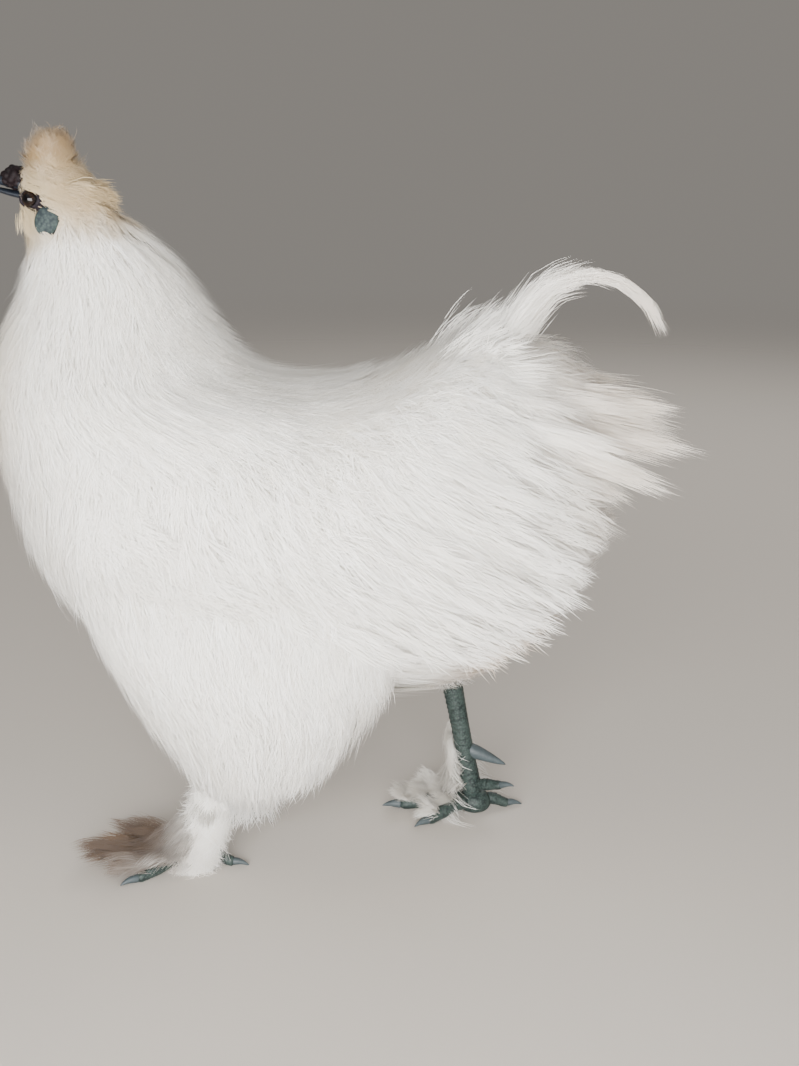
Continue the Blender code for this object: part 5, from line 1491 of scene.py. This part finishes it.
def bill():
    """The two halves of the bill, the upper with its nostrils, arched over the lower at its tip."""
    ahead = np.array((-math.cos(BILL_TILT), 0.0, math.sin(BILL_TILT)))
    above = np.array((math.sin(BILL_TILT), 0.0, math.cos(BILL_TILT)))
    for name, (height, rings) in BILL_HALVES.items():
        rings = np.array(rings)

        def place(share, theta):
            spot = np.clip((share - BILL_CAP) / (1 - 2 * BILL_CAP), 0, 1)
            length = rings[0, 0] + (rings[-1, 0] - rings[0, 0]) * spot
            droop, high, wide = (np.interp(length, rings[:, 0], rings[:, c]) for c in (1, 2, 3))
            end = np.sin(np.minimum(np.minimum(share, 1 - share) / BILL_CAP, 1) * math.pi / 2)
            centre = np.array(BILL_ROOT) + above * (height + droop)[:, None]
            centre = centre + ahead * (BILL_LENGTH * length)[:, None]
            ridge = 1 + 0.10 * np.clip(np.sin(theta), 0, 1) ** 4
            rise = high * np.sin(theta) * end * ridge
            found = centre + above * rise[:, None]
            found[:, 1] += wide * np.cos(theta) * end
            return found

        made = shaped(name + "_horn", place, 48, 36)
        if name == "beak_upper":
            for side in SIDES.values():
                aside, up = NOSTRIL_PLACE
                spot = np.array(BILL_ROOT) + ahead * BILL_LENGTH * NOSTRIL_SHARE + (0.0, side * aside, up)
                slit = ellipsoid("slit", spot, NOSTRIL_RADII, NOSTRIL_TILT, 10, 14)
                apply_modifier(made, "BOOLEAN", operation="DIFFERENCE", object=slit, solver="EXACT")
                bpy.data.objects.remove(slit)
        only(made)
        bpy.ops.object.shade_smooth_by_angle(angle=math.radians(40))
        settle(made, name + "_horn", FINISH["bill"])
        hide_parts(name)


# Earlobes and wattles: middle, radii, tilt in degrees, finish and slot.
LOBES = {
    "earlobe": (LOBE, LOBE_RADII, 20, "earlobe", "earlobe_skin"),
    "wattle": (WATTLE, WATTLE_RADII, -15, "comb", "comb_skin"),
}


def lobes():
    """Earlobes and wattles, each a soft oval with creases 2 to 3 mm apart."""
    for side_name, side in SIDES.items():
        for kind, (centre, radii, turn, finish, slot) in LOBES.items():
            x, y, z = centre
            made = ellipsoid(kind, (0, 0, 0), radii, 0.0, 36, 40)
            points = points_of(made)
            crease = np.sin(points[:, 0] * 2600 + 3 * np.sin(points[:, 2] * 700)) * 0.00014
            crease += np.sin(points[:, 2] * 1900 + 2 * np.sin(points[:, 0] * 900)) * 0.00010
            points[:, 1] += np.sign(points[:, 1]) * crease * (np.abs(points[:, 1]) > 0.0004)
            set_points(made, points)
            tilt = Matrix.Rotation(math.radians(turn), 4, "Y")
            made.data.transform(Matrix.Translation((x, side * y, z)) @ tilt)
            smooth(made)
            settle(made, f"{kind}_skin_{side_name}", FINISH[finish])
            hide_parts(f"{kind}_{side_name}")


def eyes():
    """The eyeballs, with the cornea's bulge. Gaze is each point's angle from the eye's axis, as part of pi."""
    for side_name, side in SIDES.items():
        x, y, z = EYE
        made = ellipsoid("eye", (0, 0, 0), (EYE_RADIUS,) * 3, 0.0, 48, 64)
        points = points_of(made)
        off = np.arccos(np.clip(points[:, 2] / EYE_RADIUS, -1, 1))
        points *= (1 + 0.07 * np.exp(-(off / 0.45) ** 2))[:, None]
        set_points(made, points)
        gaze = made.data.attributes.new("gaze", "FLOAT", "POINT")
        gaze.data.foreach_set("value", (off / math.pi).astype(np.float32))
        turn = gaze_of(side).to_track_quat("Z", "Y").to_matrix().to_4x4()
        made.data.transform(Matrix.Translation((x, side * y, z)) @ turn)
        smooth(made)
        settle(made, "eyeball_" + side_name, FINISH["eye"])
        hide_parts("eye_" + side_name)


# Points along a claw or spur, and the spur's height above the pad's middle, length and radius.
HORN_STEPS = 12
SPUR_HEIGHT = 0.038
SPUR_LENGTH = 0.020
SPUR_RADIUS = 0.0040


def claws():
    """Claws and spurs, each a smooth, curved horn."""
    for side_name, side in SIDES.items():
        hock, foot = shank_line(side_name)
        share = np.linspace(0, 1, HORN_STEPS)
        for toe, (_, _, _, _, length) in TOES.items():
            points, radius = toe_line(side_name, toe)
            ahead = unit(points[-1] - points[-2])
            line = points[-1] + ahead * (length * share - 0.0012 * (1 - share))[:, None]
            line[:, 2] += np.sin(share * 2.4) * 0.0010 - 0.0012 * share ** 2
            line[:, 2] = np.maximum(line[:, 2], 0.0009 + 0.0012 * (1 - share))
            radii = radius * TOE_TAPER * np.interp(share, [0, 0.35, 0.7, 1], [0.88, 0.72, 0.42, 0.10])
            made = tube("claw", line, radii, 30, 18)
            settle(made, f"claw_horn_{side_name}_{toe}", FINISH["claw"])
            smooth(made)
            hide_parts(f"claw_{side_name}_{toe}")
        down = (hock[2] - SPUR_HEIGHT) / (hock[2] - foot[2])
        start = hock + (foot - hock) * down
        ahead = unit(np.array((0.90, -0.12 * side, -0.36)))
        line = start + ahead * ((SHANK_RADIUS + SPUR_LENGTH) * share)[:, None]
        radii = SPUR_RADIUS * np.interp(share, [0, 0.3, 0.55, 0.8, 1], [1.0, 1.0, 0.78, 0.46, 0.12])
        made = tube("spur", line, radii, 30, 18)
        settle(made, "spur_horn_" + side_name, FINISH["claw"])
        smooth(made)
        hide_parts("spur_" + side_name)


def stage():
    """A plain, pale floor that fades into the studio's grey, and soft light."""
    bpy.ops.object.select_all(action="DESELECT")
    bpy.ops.mesh.primitive_plane_add(size=16.0, location=(0, 0, 0))
    floor = bpy.context.object
    floor.name = "floor"
    made, tree = new_finish("pale floor")
    place = add_node(tree, "ShaderNodeTexCoord").outputs["Object"]
    far = add_node(tree, "ShaderNodeVectorMath", {0: place}, operation="LENGTH").outputs["Value"]
    gone = add_node(tree, "ShaderNodeMapRange", {
        "Value": far, "From Min": 0.7, "From Max": 3.0,
    }, interpolation_type="SMOOTHSTEP").outputs["Result"]
    surface = add_node(tree, "ShaderNodeBsdfPrincipled", {
        "Base Color": hex_colour("b8b1a8"), "Roughness": 0.9,
    })
    clear = add_node(tree, "ShaderNodeBsdfTransparent")
    both = add_node(tree, "ShaderNodeMixShader", {0: gone, 1: surface.outputs[0], 2: clear.outputs[0]})
    add_node(tree, "ShaderNodeOutputMaterial", {"Surface": both.outputs[0]})
    floor.data.materials.append(made)
    world = bpy.data.worlds.new("studio")
    bpy.context.scene.world = world
    world.use_nodes = True
    world.node_tree.nodes.clear()
    sky = add_node(world.node_tree, "ShaderNodeBackground", {"Color": hex_colour("c9c3bb"), "Strength": 0.42})
    add_node(world.node_tree, "ShaderNodeOutputWorld", {"Surface": sky.outputs[0]})
    for label, place, size, power in LAMPS:
        data = bpy.data.lights.new(label, "AREA")
        data.size, data.energy = size, power
        lamp = bpy.data.objects.new(label, data)
        lamp.location = place
        lamp.rotation_euler = (Vector(LAMPS_AIM) - Vector(place)).to_track_quat("-Z", "Y").to_euler()
        bpy.context.scene.collection.objects.link(lamp)
    data = bpy.data.lights.new("ceiling", "SUN")
    data.energy, data.angle = 0.65, math.radians(70)
    lamp = bpy.data.objects.new("ceiling", data)
    lamp.rotation_euler = (math.radians(28), 0.0, math.radians(-14))
    bpy.context.scene.collection.objects.link(lamp)


def camera():
    """The camera of the photograph: at the height of the bird's head, close, and tilted a little down."""
    data = bpy.data.cameras.new("camera")
    data.sensor_width = SENSOR
    data.lens = SENSOR * FOCAL_PIXELS / PHOTO_HEIGHT
    data.sensor_fit = "AUTO"
    made = bpy.data.objects.new("camera", data)
    made.location = Vector(CAMERA_PLACE) + SHIFT
    made.rotation_euler = (math.radians(90 - CAMERA_TILT), 0.0, 0.0)
    bpy.context.scene.collection.objects.link(made)
    bpy.context.scene.camera = made


camera()
stage()
skin()
coat_surface = Coat()
body_down(coat_surface)
hackle_down(coat_surface)
thigh_down(coat_surface)
wings()
tail(coat_surface)
head_down()
for foot_side in SIDES:
    foot_down(foot_side)
comb()
bill()
lobes()
eyes()
claws()
